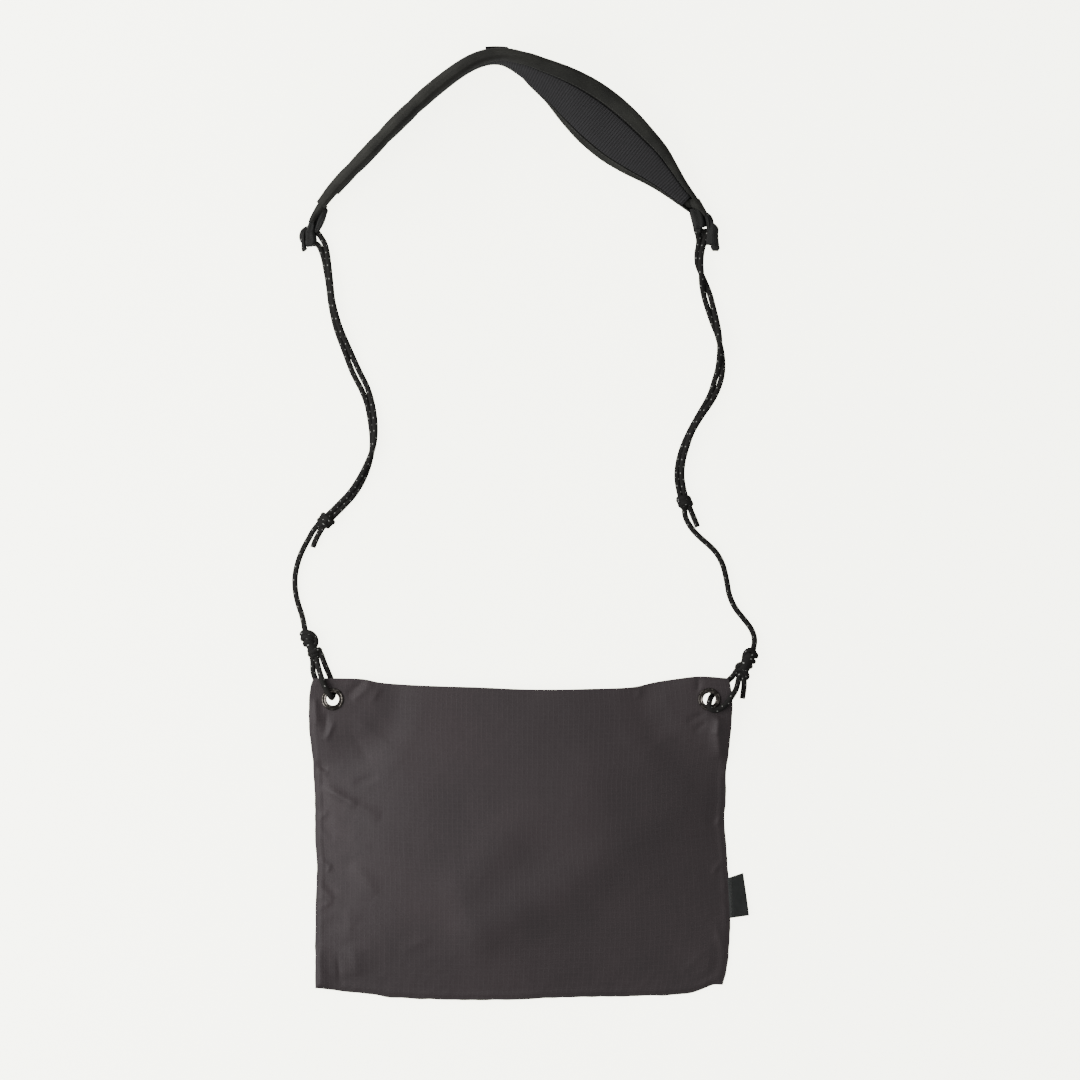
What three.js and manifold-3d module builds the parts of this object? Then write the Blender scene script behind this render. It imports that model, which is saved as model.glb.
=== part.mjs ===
// A cycling musette bag lying flat, seen from above: a thin cloth sack with an open mouth,
// a metal eyelet in each top corner, a thin cord tied to each eyelet, and a curved shoulder pad
// between the cords. Millimetres, +Z up. The origin is on the surface that the bag lies on,
// under the middle of its back. +Y runs from the sack to the shoulder pad.

import * as THREE from "three";
import { mergeVertices } from "three/addons/utils/BufferGeometryUtils.js";
import Module from "manifold-3d";

const wasm = await Module();
wasm.setup();

// Clearances
const gap = 0.3; // between pieces that touch
const cordGap = 0.15; // between two runs of one cord

// Cloth sack
const bagWidth = 332;
const bagHeight = 248;
const bagTop = 128; // from the origin up to the top corners
const clothWall = 1;
const puffHeight = 17; // how far the front stands off the back at its fullest
const mouthHeight = 7.5; // clear height of the open mouth at its middle
const seamWidth = 7; // flat band along the sewn sides and bottom

// Eyelets
const eyeletBore = 10;
const eyeletFlange = 17.6;
const eyeletWall = 0.8;
const flangeThickness = 0.9;
const eyeletInset = 15.6; // from the side seam
const eyeletDrop = 16.8; // below the top corner

// Cord
const cordDiameter = 3.75;
const cordSides = 8;

// Side tab
const tabLength = 14.5; // out of the side seam
const tabWidth = 32;
const tabWall = 0.8;
const tabDrop = 175; // below the top corner, to the middle of the tab
const tabSlope = 0.22; // how far it climbs for each length out
const tabTaper = 0.2; // how much shorter its upper edge is than its lower

// Shoulder pad
const padSpan = 299; // between its two tips
const padRise = 120; // from its tips to its top
const padBreadth = 48;
const padThickness = 9;
const padCentre = -10.6; // of its tips, from the bag's middle
const padBase = 377; // of its tips, above the bag's top corners
const meshShare = 0.64; // of the pad's breadth that the mesh panel covers
const meshShift = -0.05; // towards the lower edge, as a share of the breadth
const meshThickness = 1.3;
const labelLength = 18;
const labelBreadth = 26;
const labelThickness = 1.1;

// Webbing loops
const webWidth = 13.6;
const webThickness = 1.2;
const webPinch = 5.2; // its width where the cord draws it together

const cordRadius = cordDiameter / 2;
const bagLeft = -bagWidth / 2;
const bagBottom = bagTop - bagHeight;

// Height of the sack's back over the surface round an eyelet: a cord and a flange pass under it
const eyeletLift = cordDiameter + flangeThickness + 3 * gap;

// Outline of the sack, going up each side: how far the edge stands outwards of a plain
// rectangle, as a share of the width. Along the top and bottom: as a share of the height.
const leftEdge = [
  { at: 0, out: -0.004 }, { at: 0.14, out: -0.004 }, { at: 0.27, out: -0.005 },
  { at: 0.39, out: -0.008 }, { at: 0.48, out: -0.004 }, { at: 0.61, out: -0.003 },
  { at: 0.72, out: 0.001 }, { at: 0.79, out: 0.006 }, { at: 0.85, out: 0.0105 },
  { at: 0.92, out: 0.0105 }, { at: 0.975, out: 0.007 }, { at: 1, out: 0 },
];
const rightEdge = [
  { at: 0, out: -0.014 }, { at: 0.05, out: -0.004 }, { at: 0.13, out: 0.002 },
  { at: 0.22, out: 0.005 }, { at: 0.35, out: 0 }, { at: 0.43, out: -0.004 },
  { at: 0.55, out: -0.01 }, { at: 0.6, out: -0.006 }, { at: 0.69, out: -0.006 },
  { at: 0.76, out: 0.001 }, { at: 0.86, out: 0.007 }, { at: 0.94, out: 0.009 },
  { at: 1, out: 0 },
];
const topEdge = [
  { at: 0, out: 0 }, { at: 0.06, out: 0 }, { at: 0.12, out: -0.003 },
  { at: 0.16, out: -0.014 }, { at: 0.22, out: -0.021 }, { at: 0.3, out: -0.026 },
  { at: 0.4, out: -0.03 }, { at: 0.5, out: -0.036 }, { at: 0.58, out: -0.037 },
  { at: 0.66, out: -0.035 }, { at: 0.77, out: -0.029 }, { at: 0.82, out: -0.014 },
  { at: 0.87, out: -0.003 }, { at: 0.93, out: 0.006 }, { at: 1, out: 0 },
];
const bottomEdge = [
  { at: 0, out: 0 }, { at: 0.03, out: 0.004 }, { at: 0.07, out: 0.012 },
  { at: 0.13, out: 0.019 }, { at: 0.19, out: 0.031 }, { at: 0.37, out: 0.039 },
  { at: 0.48, out: 0.037 }, { at: 0.65, out: 0.029 }, { at: 0.8, out: 0.026 },
  { at: 0.92, out: 0.016 }, { at: 0.975, out: -0.009 }, { at: 1, out: -0.011 },
];

// Folds of the front: a ridge from one place to another, across and up as shares of the sack,
// its width as a share of the bag's width and its rise as a share of the puff height.
const folds = [
  { x0: 0.06, y0: 0.955, x1: 0.13, y1: 1, width: 0.024, rise: 0.16 },
  { x0: 0.13, y0: 0.94, x1: 0.17, y1: 0.99, width: 0.02, rise: 0.12 },
  { x0: 0.05, y0: 0.87, x1: 0.024, y1: 0.8, width: 0.022, rise: 0.14 },
  { x0: 0.01, y0: 0.655, x1: 0.125, y1: 0.587, width: 0.026, rise: 0.2 },
  { x0: 0.02, y0: 0.57, x1: 0.08, y1: 0.53, width: 0.022, rise: 0.12 },
  { x0: 0.035, y0: 0.14, x1: 0.06, y1: 0.03, width: 0.028, rise: 0.2 },
  { x0: 0.956, y0: 0.9, x1: 0.972, y1: 0.75, width: 0.022, rise: 0.24 },
  { x0: 0.926, y0: 0.87, x1: 0.885, y1: 0.8, width: 0.024, rise: 0.14 },
  { x0: 0.925, y0: 1, x1: 0.925, y1: 0.95, width: 0.018, rise: 0.1 },
  { x0: 0.09, y0: 0.88, x1: 0.24, y1: 0.7, width: 0.07, rise: 0.14 },
  { x0: 0.91, y0: 0.88, x1: 0.77, y1: 0.7, width: 0.07, rise: 0.14 },
  { x0: 0.06, y0: 0.08, x1: 0.22, y1: 0.26, width: 0.07, rise: 0.12 },
  { x0: 0.95, y0: 0.08, x1: 0.82, y1: 0.28, width: 0.07, rise: 0.12 },
];

// The shoulder pad from its left tip to its right: across as a share of its span from the
// middle, up as a share of its rise, breadth and thickness as shares of its own, and how many
// degrees its upper edge leans outwards. It stands on edge at the left and lies down at the right.
const padSections = [
  { across: -0.5, up: 0.007, breadth: 0.25, thick: 0.78, lean: -2 },
  { across: -0.457, up: 0.143, breadth: 0.5, thick: 0.9, lean: -3 },
  { across: -0.3825, up: 0.337, breadth: 0.86, thick: 1, lean: -4 },
  { across: -0.284, up: 0.594, breadth: 1, thick: 1, lean: -4 },
  { across: -0.189, up: 0.805, breadth: 1, thick: 1, lean: -4 },
  { across: -0.097, up: 0.962, breadth: 1, thick: 1, lean: -3 },
  { across: -0.022, up: 1.002, breadth: 1, thick: 1, lean: 1 },
  { across: 0.047, up: 0.943, breadth: 1, thick: 1, lean: 14 },
  { across: 0.09, up: 0.882, breadth: 1, thick: 1, lean: 25 },
  { across: 0.143, up: 0.793, breadth: 1, thick: 1, lean: 38 },
  { across: 0.2, up: 0.685, breadth: 1, thick: 1, lean: 55 },
  { across: 0.251, up: 0.578, breadth: 1, thick: 1, lean: 67 },
  { across: 0.298, up: 0.476, breadth: 0.97, thick: 1, lean: 71 },
  { across: 0.34, up: 0.385, breadth: 0.88, thick: 1, lean: 73 },
  { across: 0.382, up: 0.293, breadth: 0.75, thick: 0.97, lean: 74 },
  { across: 0.419, up: 0.203, breadth: 0.56, thick: 0.9, lean: 74 },
  { across: 0.453, up: 0.114, breadth: 0.4, thick: 0.8, lean: 74 },
  { across: 0.5, up: -0.004, breadth: 0.24, thick: 0.7, lean: 74 },
];

// Doubled runs of cord, from the webbing loop down to the sliding knot: the middle of the two
// runs, how far they are turned round each other in degrees, and the space between them.
const leftPair = [
  { x: -157, y: 468, turn: 10, apart: 0 }, { x: -154.5, y: 454, turn: 48, apart: 0 },
  { x: -153, y: 443, turn: 60, apart: 0 }, { x: -151.5, y: 430, turn: 62, apart: 0 },
  { x: -149, y: 418, turn: 50, apart: 0 }, { x: -145.5, y: 406, turn: 34, apart: 0 },
  { x: -139.5, y: 391, turn: 8, apart: 0.2 }, { x: -132, y: 373, turn: 0, apart: 1.3 },
  { x: -125, y: 359, turn: 0, apart: 1 }, { x: -121, y: 347, turn: 10, apart: 0.2 },
  { x: -118.5, y: 332, turn: 28, apart: 0 }, { x: -118, y: 319, turn: 60, apart: 0 },
  { x: -119.5, y: 308, turn: 90, apart: 0 }, { x: -124, y: 295, turn: 125, apart: 0 },
  { x: -129.5, y: 284, turn: 148, apart: 0 }, { x: -136, y: 274.5, turn: 160, apart: 0 },
  { x: -143.5, y: 266.5, turn: 170, apart: 0 }, { x: -151.8, y: 258.2, turn: 180, apart: 0 },
];
const rightPair = [
  { x: 144, y: 475, turn: 10, apart: 0 }, { x: 142.5, y: 467, turn: 28, apart: 0 },
  { x: 142.5, y: 459, turn: 50, apart: 0 }, { x: 144.2, y: 451, turn: 92, apart: 0 },
  { x: 146, y: 443.5, turn: 140, apart: 0 }, { x: 148.7, y: 434, turn: 180, apart: 1 },
  { x: 151.2, y: 425, turn: 185, apart: 0.8 }, { x: 155, y: 412, turn: 210, apart: 0 },
  { x: 157.3, y: 404, turn: 245, apart: 0 }, { x: 158.8, y: 396, turn: 270, apart: 0 },
  { x: 159.7, y: 387, turn: 300, apart: 0 }, { x: 159.3, y: 375, turn: 350, apart: 0 },
  { x: 157.3, y: 366, turn: 360, apart: 0.9 }, { x: 152.7, y: 353.5, turn: 375, apart: 0 },
  { x: 142, y: 336, turn: 415, apart: 0 }, { x: 135.8, y: 325, turn: 420, apart: 0 },
  { x: 131, y: 313, turn: 400, apart: 0 }, { x: 127.7, y: 301, turn: 390, apart: 0 },
  { x: 126.7, y: 289, turn: 370, apart: 0 }, { x: 129.1, y: 274.6, turn: 360, apart: 0 },
];

// Turns of the cord through the webbing loops: x, y and z of its centreline
const leftBight = [
  [-156.9, 475.2, 2.6], [-160.4, 481.2, 3.4], [-164.2, 485.6, 3.6], [-169.4, 487.5, 3.6],
  [-174, 484.9, 3.6], [-175, 479.4, 3.6], [-171.6, 475.3, 3.6], [-166.6, 475.4, 3.4],
  [-162.6, 474.6, 2.6],
];
const rightBight = [
  [147.7, 480.6, 2.4], [150.9, 485.4, 3.4], [152, 491.4, 3.6], [150, 496.8, 3.6],
  [145.5, 499, 3.6], [141, 496.8, 3.6], [139.4, 491.6, 3.6], [140.2, 486.2, 3.4],
  [141.8, 480.8, 2.4],
];

// Single runs, free ends and turns through the eyelets: x, y and z of each centreline
const cordRoutes = {
  cord_left_single: [
    [-161.2, 251.8, 3.2], [-163.6, 249, 2.4], [-166.4, 245.4, 1.95], [-169.4, 240, 1.95],
    [-172.6, 234.4, 1.95], [-175.4, 228.6, 1.95], [-177.6, 223, 1.95], [-179.3, 217, 1.95],
    [-180.6, 209.6, 1.95], [-180.7, 201.6, 1.95], [-179.7, 193.6, 1.95], [-177.6, 185.6, 1.95],
    [-175.2, 178.4, 2], [-173.6, 171.6, 2.9], [-172.7, 167, 4.2],
  ],
  cord_left_end: [
    [-158.2, 248.8, 3.2], [-160, 246.2, 2.3], [-163.4, 240, 1.95], [-165.8, 234.4, 1.95],
    [-166.5, 232.4, 1.95],
  ],
  cord_right_single: [
    [130.7, 263.4, 3.2], [130.9, 260, 2.3], [132, 255.6, 1.95], [134.5, 250.8, 1.95],
    [138.2, 245.6, 1.95], [144, 239.8, 1.95], [150.4, 234.2, 1.95], [155.6, 228.8, 1.95],
    [159.2, 223.2, 1.95], [161.8, 217.2, 1.95], [164.4, 206.4, 1.95], [166.4, 195.4, 1.95],
    [168.6, 189.4, 1.95], [171.4, 184, 1.95], [175.6, 178.4, 1.95], [180, 173, 1.95],
    [184, 167.4, 1.95], [186.2, 162, 2.1], [186.7, 157.4, 2.9], [186, 152.7, 3.9],
  ],
  cord_right_end: [
    [134.7, 264.7, 3.2], [136.2, 261, 2.3], [138, 256.8, 1.95], [140.3, 251.2, 1.95],
    [141.2, 248.8, 1.95],
  ],
  cord_left_eyelet: [
    [-159.4, 146.2, 3.4], [-157.8, 141.4, 2.4], [-155, 134.6, 1.95], [-152.2, 128, 1.95],
    [-149.8, 121.8, 1.95], [-149, 117.2, 1.95], [-149.4, 113.4, 3], [-150.2, 111.6, 6],
    [-151.2, 111.9, 9.6], [-153.2, 114.6, 12], [-155.8, 119.4, 11.8], [-157.8, 124.2, 11.1],
    [-159.3, 128.6, 10.3], [-160.7, 132.8, 7.9], [-162, 137, 5.2], [-163.1, 141.2, 3.8],
    [-163.6, 145.2, 3.6],
  ],
  cord_left_spare: [
    [-167.6, 144.4, 3.4], [-167.5, 140.4, 2.3], [-166.4, 133.6, 1.95], [-164.5, 127.6, 1.95],
    [-162, 121.8, 1.95],
  ],
  cord_right_eyelet: [
    [171.8, 133.2, 3.4], [169.9, 130.2, 2.5], [166.6, 126.8, 1.95], [161.6, 122.6, 1.95],
    [157, 118.6, 1.95], [153.4, 114.8, 1.95], [151.9, 112.6, 3.2], [151, 110.6, 6.4],
    [150.3, 107.8, 10.4], [150.6, 104.6, 12.3], [153.6, 102.5, 12.3], [157.4, 103, 11.9],
    [161.2, 105, 11.7], [164.8, 108.6, 11.5], [168.2, 113.4, 11], [171.4, 118.6, 8.2],
    [173, 122.8, 5], [174, 127.6, 3.8],
  ],
  cord_right_spare: [[178.2, 126.4, 3.8], [178.4, 122.6, 2.6], [177.9, 117.6, 1.95], [177, 111.4, 1.95]],
};

// Knots: where each one lies, which way it runs in degrees from +X, its length, and its wraps
// from its start, their places as shares of its length and their radii in cord diameters.
const knots = {
  knot_left_slide: {
    x: -155.8, y: 254.3, heading: 224, length: 9.6, core: 0.9,
    wraps: [{ at: 0.3, radius: 1.25 }, { at: 0.68, radius: 1.25 }],
  },
  knot_right_slide: {
    x: 130.9, y: 269.4, heading: 289, length: 9.4, core: 0.9,
    wraps: [{ at: 0.3, radius: 1.3 }, { at: 0.68, radius: 1.25 }],
  },
  knot_left_eyelet: {
    x: -168.1, y: 156.2, heading: 293, length: 21.6, core: 1.15,
    wraps: [
      { at: 0.13, radius: 1.55 }, { at: 0.31, radius: 1.95 }, { at: 0.49, radius: 1.85 },
      { at: 0.68, radius: 1.4 }, { at: 0.85, radius: 1.5 },
    ],
  },
  knot_right_eyelet: {
    x: 181, y: 140, heading: 249, length: 25.6, core: 1.05,
    wraps: [
      { at: 0.12, radius: 1.4 }, { at: 0.28, radius: 1.65 }, { at: 0.44, radius: 1.6 },
      { at: 0.62, radius: 1.35 }, { at: 0.8, radius: 1.5 },
    ],
  },
};
const knotFlattening = 0.82; // a knot's height as a share of its width
const wrapSettling = 0.6; // how far a small wrap sinks towards the surface: 1 brings it down to it

// Finishes
const finish = (color, roughness, metalness = 0) =>
  new THREE.MeshStandardMaterial({ color, roughness, metalness });
const ripstop = finish(0x3a3436, 0.8);
const braid = finish(0x1f1e1d, 0.85);
const binding = finish(0x2d2e2a, 0.8);
const airMesh = finish(0x2e2e2f, 0.95);
const gunmetal = finish(0x55534f, 0.3, 0.9);
const webbing = finish(0x343336, 0.85);
const ribbonCloth = finish(0x252826, 0.75);

const musette = new THREE.Group();

function addPiece(name, geometry, material) {
  geometry.computeVertexNormals();
  const mesh = new THREE.Mesh(geometry, material);
  mesh.name = name;
  musette.add(mesh);
}

// Geometry and solids

function toSolid(geometry) {
  const bare = geometry.clone();
  bare.deleteAttribute("normal");
  bare.deleteAttribute("uv");
  const merged = mergeVertices(bare, 1e-4);
  return new wasm.Manifold(
    new wasm.Mesh({
      numProp: 3,
      vertProperties: new Float32Array(merged.attributes.position.array),
      triVerts: new Uint32Array(merged.index.array),
    }),
  );
}

function toGeometry(solid) {
  const mesh = solid.getMesh();
  const geometry = new THREE.BufferGeometry();
  geometry.setAttribute("position", new THREE.BufferAttribute(mesh.vertProperties, 3));
  geometry.setIndex(new THREE.BufferAttribute(mesh.triVerts, 1));
  return geometry.toNonIndexed();
}

function fromTriangles(points, triangles) {
  const geometry = new THREE.BufferGeometry();
  const numbers = points.flatMap((point) => point.toArray());
  geometry.setAttribute("position", new THREE.Float32BufferAttribute(numbers, 3));
  geometry.setIndex(triangles);
  return geometry;
}

// A closed body through rings of points, each ring going round the same way. Mirrored, its
// faces are split along their other diagonal.
function loft(rings, mirrored = false) {
  const sides = rings[0].length;
  const points = rings.flat();
  const triangles = [];
  for (let ring = 0; ring + 1 < rings.length; ring++) {
    for (let side = 0; side < sides; side++) {
      const a = ring * sides + side;
      const b = ring * sides + ((side + 1) % sides);
      if (mirrored) triangles.push(a, b, a + sides, b, b + sides, a + sides);
      else triangles.push(a, b, b + sides, a, b + sides, a + sides);
    }
  }
  const last = (rings.length - 1) * sides;
  for (let side = 1; side + 1 < sides; side++) {
    triangles.push(0, side + 1, side);
    triangles.push(last, last + side, last + side + 1);
  }
  return fromTriangles(points, triangles);
}

// A sheet with a wall: place(across, up, layer) gives its lower side at layer 0, its upper at 1.
function sheet(columns, rows, place) {
  const points = [];
  for (const layer of [0, 1]) {
    for (const up of rows) {
      for (const across of columns) points.push(place(across, up, layer));
    }
  }
  const wide = columns.length;
  const high = rows.length;
  const upper = wide * high;
  const triangles = [];
  for (let row = 0; row + 1 < high; row++) {
    for (let column = 0; column + 1 < wide; column++) {
      const a = row * wide + column;
      const [b, c, d] = [a + 1, a + wide + 1, a + wide];
      triangles.push(a, c, b, a, d, c);
      triangles.push(a + upper, b + upper, c + upper, a + upper, c + upper, d + upper);
    }
  }
  const rim = [];
  for (let column = 0; column < wide; column++) rim.push(column);
  for (let row = 1; row < high; row++) rim.push(row * wide + wide - 1);
  for (let column = wide - 2; column >= 0; column--) rim.push((high - 1) * wide + column);
  for (let row = high - 2; row > 0; row--) rim.push(row * wide);
  rim.forEach((a, i) => {
    const b = rim[(i + 1) % rim.length];
    triangles.push(a, b, b + upper, a, b + upper, a + upper);
  });
  return fromTriangles(points, triangles);
}

// Shares from 0 to 1 that lie closer together near both ends.
function crowdedShares(count, crowding) {
  return Array.from({ length: count + 1 }, (_, i) => {
    const t = i / count;
    return t - (crowding * Math.sin(2 * Math.PI * t)) / (2 * Math.PI);
  });
}

const clampShare = (t) => Math.min(1, Math.max(0, t));
const smooth = (t) => clampShare(t) ** 2 * (3 - 2 * clampShare(t));

// A value between the rows of a table, on a smooth curve through them.
function between(table, key, value, column) {
  let i = 0;
  while (i + 2 < table.length && table[i + 1][key] < value) i++;
  const [a, b] = [table[i], table[i + 1]];
  const before = table[Math.max(0, i - 1)];
  const after = table[Math.min(table.length - 1, i + 2)];
  const span = b[key] - a[key];
  const t = clampShare((value - a[key]) / span);
  const slopeA = ((b[column] - before[column]) / (b[key] - before[key])) * span;
  const slopeB = ((after[column] - a[column]) / (after[key] - a[key])) * span;
  return (
    (2 * t ** 3 - 3 * t ** 2 + 1) * a[column] + (t ** 3 - 2 * t ** 2 + t) * slopeA +
    (3 * t ** 2 - 2 * t ** 3) * b[column] + (t ** 3 - t ** 2) * slopeB
  );
}

// The sack: outline, lifted corners, puff and folds

const eyelets = [-1, 1].map((side) => ({
  x: side * (bagWidth / 2 - eyeletInset),
  y: bagTop - eyeletDrop,
}));

function sackPlace(across, up) {
  const left = bagLeft - between(leftEdge, "at", up, "out") * bagWidth;
  const right = bagLeft + bagWidth + between(rightEdge, "at", up, "out") * bagWidth;
  const bottom = bagBottom - between(bottomEdge, "at", across, "out") * bagHeight;
  const top = bagTop + between(topEdge, "at", across, "out") * bagHeight;
  return [left + (right - left) * across, bottom + (top - bottom) * up];
}

const liftFlat = eyeletFlange; // the cloth is level this far round an eyelet
const liftReach = eyeletFlange * 3.2; // and is down on the surface again this far off

function cornerLift(x, y) {
  const near = Math.min(...eyelets.map((e) => Math.hypot(x - e.x, y - e.y)));
  return eyeletLift * (1 - smooth((near - liftFlat) / (liftReach - liftFlat)));
}

function foldRise(across, up) {
  let rise = 0;
  for (const fold of folds) {
    const alongX = (fold.x1 - fold.x0) * bagWidth;
    const alongY = (fold.y1 - fold.y0) * bagHeight;
    const fromX = (across - fold.x0) * bagWidth;
    const fromY = (up - fold.y0) * bagHeight;
    const t = clampShare((fromX * alongX + fromY * alongY) / (alongX ** 2 + alongY ** 2));
    const off = Math.hypot(fromX - t * alongX, fromY - t * alongY) / (fold.width * bagWidth);
    rise += fold.rise * puffHeight * Math.exp(-3 * off * off);
  }
  return rise;
}

const seamFade = 0.033; // the folds die out over this share of the sack, towards its seams
const puffRoundness = 2.6; // the power that the puff falls by towards the seams

// How far the front stands off the back, over the gap of a closed seam.
function puff(across, up) {
  const [x, y] = sackPlace(across, up);
  const seamX = seamWidth / bagWidth;
  const seamY = seamWidth / bagHeight;
  const u = clampShare((across - seamX) / (1 - 2 * seamX));
  const v = clampShare((up - seamY) / (1 - seamY));
  const sides = 1 - Math.abs(2 * u - 1) ** puffRoundness;
  const rise = 1 - (1 - v) ** puffRoundness;
  const mouth = 1 - (1 - mouthHeight / puffHeight) * smooth((up - 0.5) / 0.5);
  const near = Math.min(...eyelets.map((e) => Math.hypot(x - e.x, y - e.y)));
  const free = smooth((near - liftFlat) / liftReach);
  const seam = smooth(u / seamFade) * smooth((1 - u) / seamFade) * smooth(v / seamFade);
  const open = seam * smooth((near - liftFlat) / liftFlat);
  return free * puffHeight * sides * rise * mouth + open * foldRise(across, up);
}

function backPlace(across, up, layer) {
  const [x, y] = sackPlace(across, up);
  return new THREE.Vector3(x, y, cornerLift(x, y) + layer * clothWall);
}

function frontPlace(across, up, layer) {
  const place = backPlace(across, up, 1);
  place.z += gap + puff(across, up) + layer * clothWall;
  return place;
}

function eyeletHole(eyelet) {
  const radius = eyeletBore / 2 + eyeletWall + gap;
  const cutter = new THREE.CylinderGeometry(radius, radius, puffHeight * 3, 20);
  cutter.rotateX(Math.PI / 2);
  cutter.translate(eyelet.x, eyelet.y, 0);
  return toSolid(cutter);
}

function withEyeletHoles(geometry) {
  return toGeometry(eyelets.reduce((solid, e) => solid.subtract(eyeletHole(e)), toSolid(geometry)));
}

const clothColumns = crowdedShares(25, 0.62);
const clothRows = crowdedShares(15, 0.5);

addPiece(
  "bag_back_panel",
  withEyeletHoles(sheet(clothColumns, clothRows, backPlace)),
  ripstop,
);
addPiece(
  "bag_front_panel",
  withEyeletHoles(sheet(clothColumns, clothRows, frontPlace)),
  ripstop,
);

// Eyelets: a barrel through both panels with a rounded flange over and under them

function eyeletGeometry() {
  const bore = eyeletBore / 2;
  const barrel = bore + eyeletWall;
  const flange = eyeletFlange / 2;
  const under = eyeletLift - gap;
  const over = eyeletLift + 2 * clothWall + 2 * gap;
  const profile = [
    [bore, under - flangeThickness * 0.5], [bore + 0.5, under - flangeThickness],
    [flange - 0.6, under - flangeThickness], [flange, under - flangeThickness * 0.4],
    [flange - 0.2, under], [barrel, under], [barrel, over], [flange - 0.2, over],
    [flange, over + flangeThickness * 0.4], [flange - 0.9, over + flangeThickness],
    [barrel + 0.7, over + flangeThickness * 0.75], [barrel - 0.1, over + flangeThickness],
    [bore, over + flangeThickness * 0.4], [bore, under - flangeThickness * 0.5],
  ];
  const lathe = new THREE.LatheGeometry(profile.map(([r, z]) => new THREE.Vector2(r, z)), 14);
  return lathe.rotateX(Math.PI / 2);
}

["eyelet_left", "eyelet_right"].forEach((name, i) => {
  addPiece(name, eyeletGeometry().translate(eyelets[i].x, eyelets[i].y, 0), gunmetal);
});

// Side tab: a ribbon folded back on itself, its two ends at the side seam

function sideTab() {
  const slot = gap + 0.1;
  const reach = 2 * tabWall + slot;
  const outline = new THREE.Shape();
  outline.moveTo(0, 0);
  outline.lineTo(tabLength - reach / 2, 0);
  outline.absarc(tabLength - reach / 2, reach / 2, reach / 2, -Math.PI / 2, Math.PI / 2);
  outline.lineTo(0, reach);
  outline.lineTo(0, reach - tabWall);
  outline.lineTo(tabLength - reach / 2, reach - tabWall);
  outline.absarc(tabLength - reach / 2, reach / 2, slot / 2, Math.PI / 2, -Math.PI / 2, true);
  outline.lineTo(0, tabWall);
  const band = new THREE.ExtrudeGeometry(outline, {
    depth: tabWidth, steps: 2, bevelEnabled: false, curveSegments: 4,
  });
  band.rotateX(Math.PI / 2).translate(0, tabWidth / 2, 0);
  const corner = band.getAttribute("position");
  for (let i = 0; i < corner.count; i++) {
    const [out, along] = [corner.getX(i), corner.getY(i)];
    const edge = sackPlace(1, 1 - (tabDrop - along) / bagHeight)[0] + 2 * gap;
    corner.setX(i, edge + out * (1 - (tabTaper * along) / tabWidth));
    corner.setY(i, bagTop - tabDrop + along + out * tabSlope);
  }
  return band;
}

addPiece("side_tab", sideTab(), ribbonCloth);

// The shoulder pad: a frame at each place along it, then rings of its section

function padFrames(count) {
  const stations = padSections.map((row, i) => ({ ...row, i }));
  const value = (t, column) => between(stations, "i", t, column);
  const place = (t) =>
    new THREE.Vector3(
      padCentre + value(t, "across") * padSpan,
      bagTop + padBase + value(t, "up") * padRise,
      0,
    );
  const last = padSections.length - 1;
  return Array.from({ length: count + 1 }, (_, k) => {
    const t = (k / count) * last;
    const along = place(Math.min(last, t + 0.2)).sub(place(Math.max(0, t - 0.2))).normalize();
    const outwards = new THREE.Vector3(-along.y, along.x, 0);
    const lean = THREE.MathUtils.degToRad(value(t, "lean"));
    const upwards = new THREE.Vector3(0, 0, 1);
    return {
      centre: place(t),
      breadth: value(t, "breadth") * padBreadth,
      thickness: value(t, "thick") * padThickness,
      edgeWay: upwards.clone().multiplyScalar(Math.cos(lean)).addScaledVector(outwards, Math.sin(lean)),
      innerWay: upwards.clone().multiplyScalar(Math.sin(lean)).addScaledVector(outwards, -Math.cos(lean)),
    };
  });
}

const padPoint = (frame, edgewise, inwards) =>
  frame.centre.clone().addScaledVector(frame.edgeWay, edgewise).addScaledVector(frame.innerWay, inwards);

// The mesh panel's two edges, as shares of half the pad's breadth
const meshUpper = 2 * meshShift + meshShare;
const meshLower = 2 * meshShift - meshShare;
const meshMiddle = (meshUpper + meshLower) / 2;

// The pad's section, as shares of half its breadth and of half its thickness: level where the
// mesh panel lies on it, and rounded at its bound edges.
const padSection = [
  [1, -0.4], [1, 0.4], [0.5 + meshUpper / 2 + 0.06, 0.86], [meshUpper, 1], [meshMiddle, 1],
  [meshLower, 1], [-0.5 + meshLower / 2 - 0.06, 0.8], [-1, 0.35], [-1, -0.4], [-0.86, -0.9],
  [0, -1], [0.86, -0.9],
];

const padRing = (frame) =>
  padSection.map(([edge, depth]) =>
    padPoint(frame, (edge * frame.breadth) / 2, (depth * frame.thickness) / 2),
  );

const padSteps = 34;
const pad = padFrames(padSteps);
for (const frame of pad) {
  const lowest = Math.min(...padRing(frame).map((p) => p.z));
  frame.centre.z -= lowest;
}

addPiece("shoulder_pad", loft(pad.map(padRing)), binding);

const meshCrown = [0.35, 0.9, 1, 0.9, 0.35]; // its swell from one edge to the other

function meshRing(frame) {
  const seat = frame.thickness / 2 + gap;
  const half = frame.breadth / 2;
  const lower = [meshLower, meshMiddle, meshUpper].map((edge) => padPoint(frame, edge * half, seat));
  const upper = meshCrown.map((swell, i) => {
    const edge = meshUpper + (meshLower - meshUpper) * (i / (meshCrown.length - 1));
    return padPoint(frame, edge * half, seat + swell * meshThickness);
  });
  return [...lower, ...upper];
}

addPiece("pad_mesh_panel", loft(pad.slice(2, -2).map(meshRing), true), airMesh);

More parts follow.
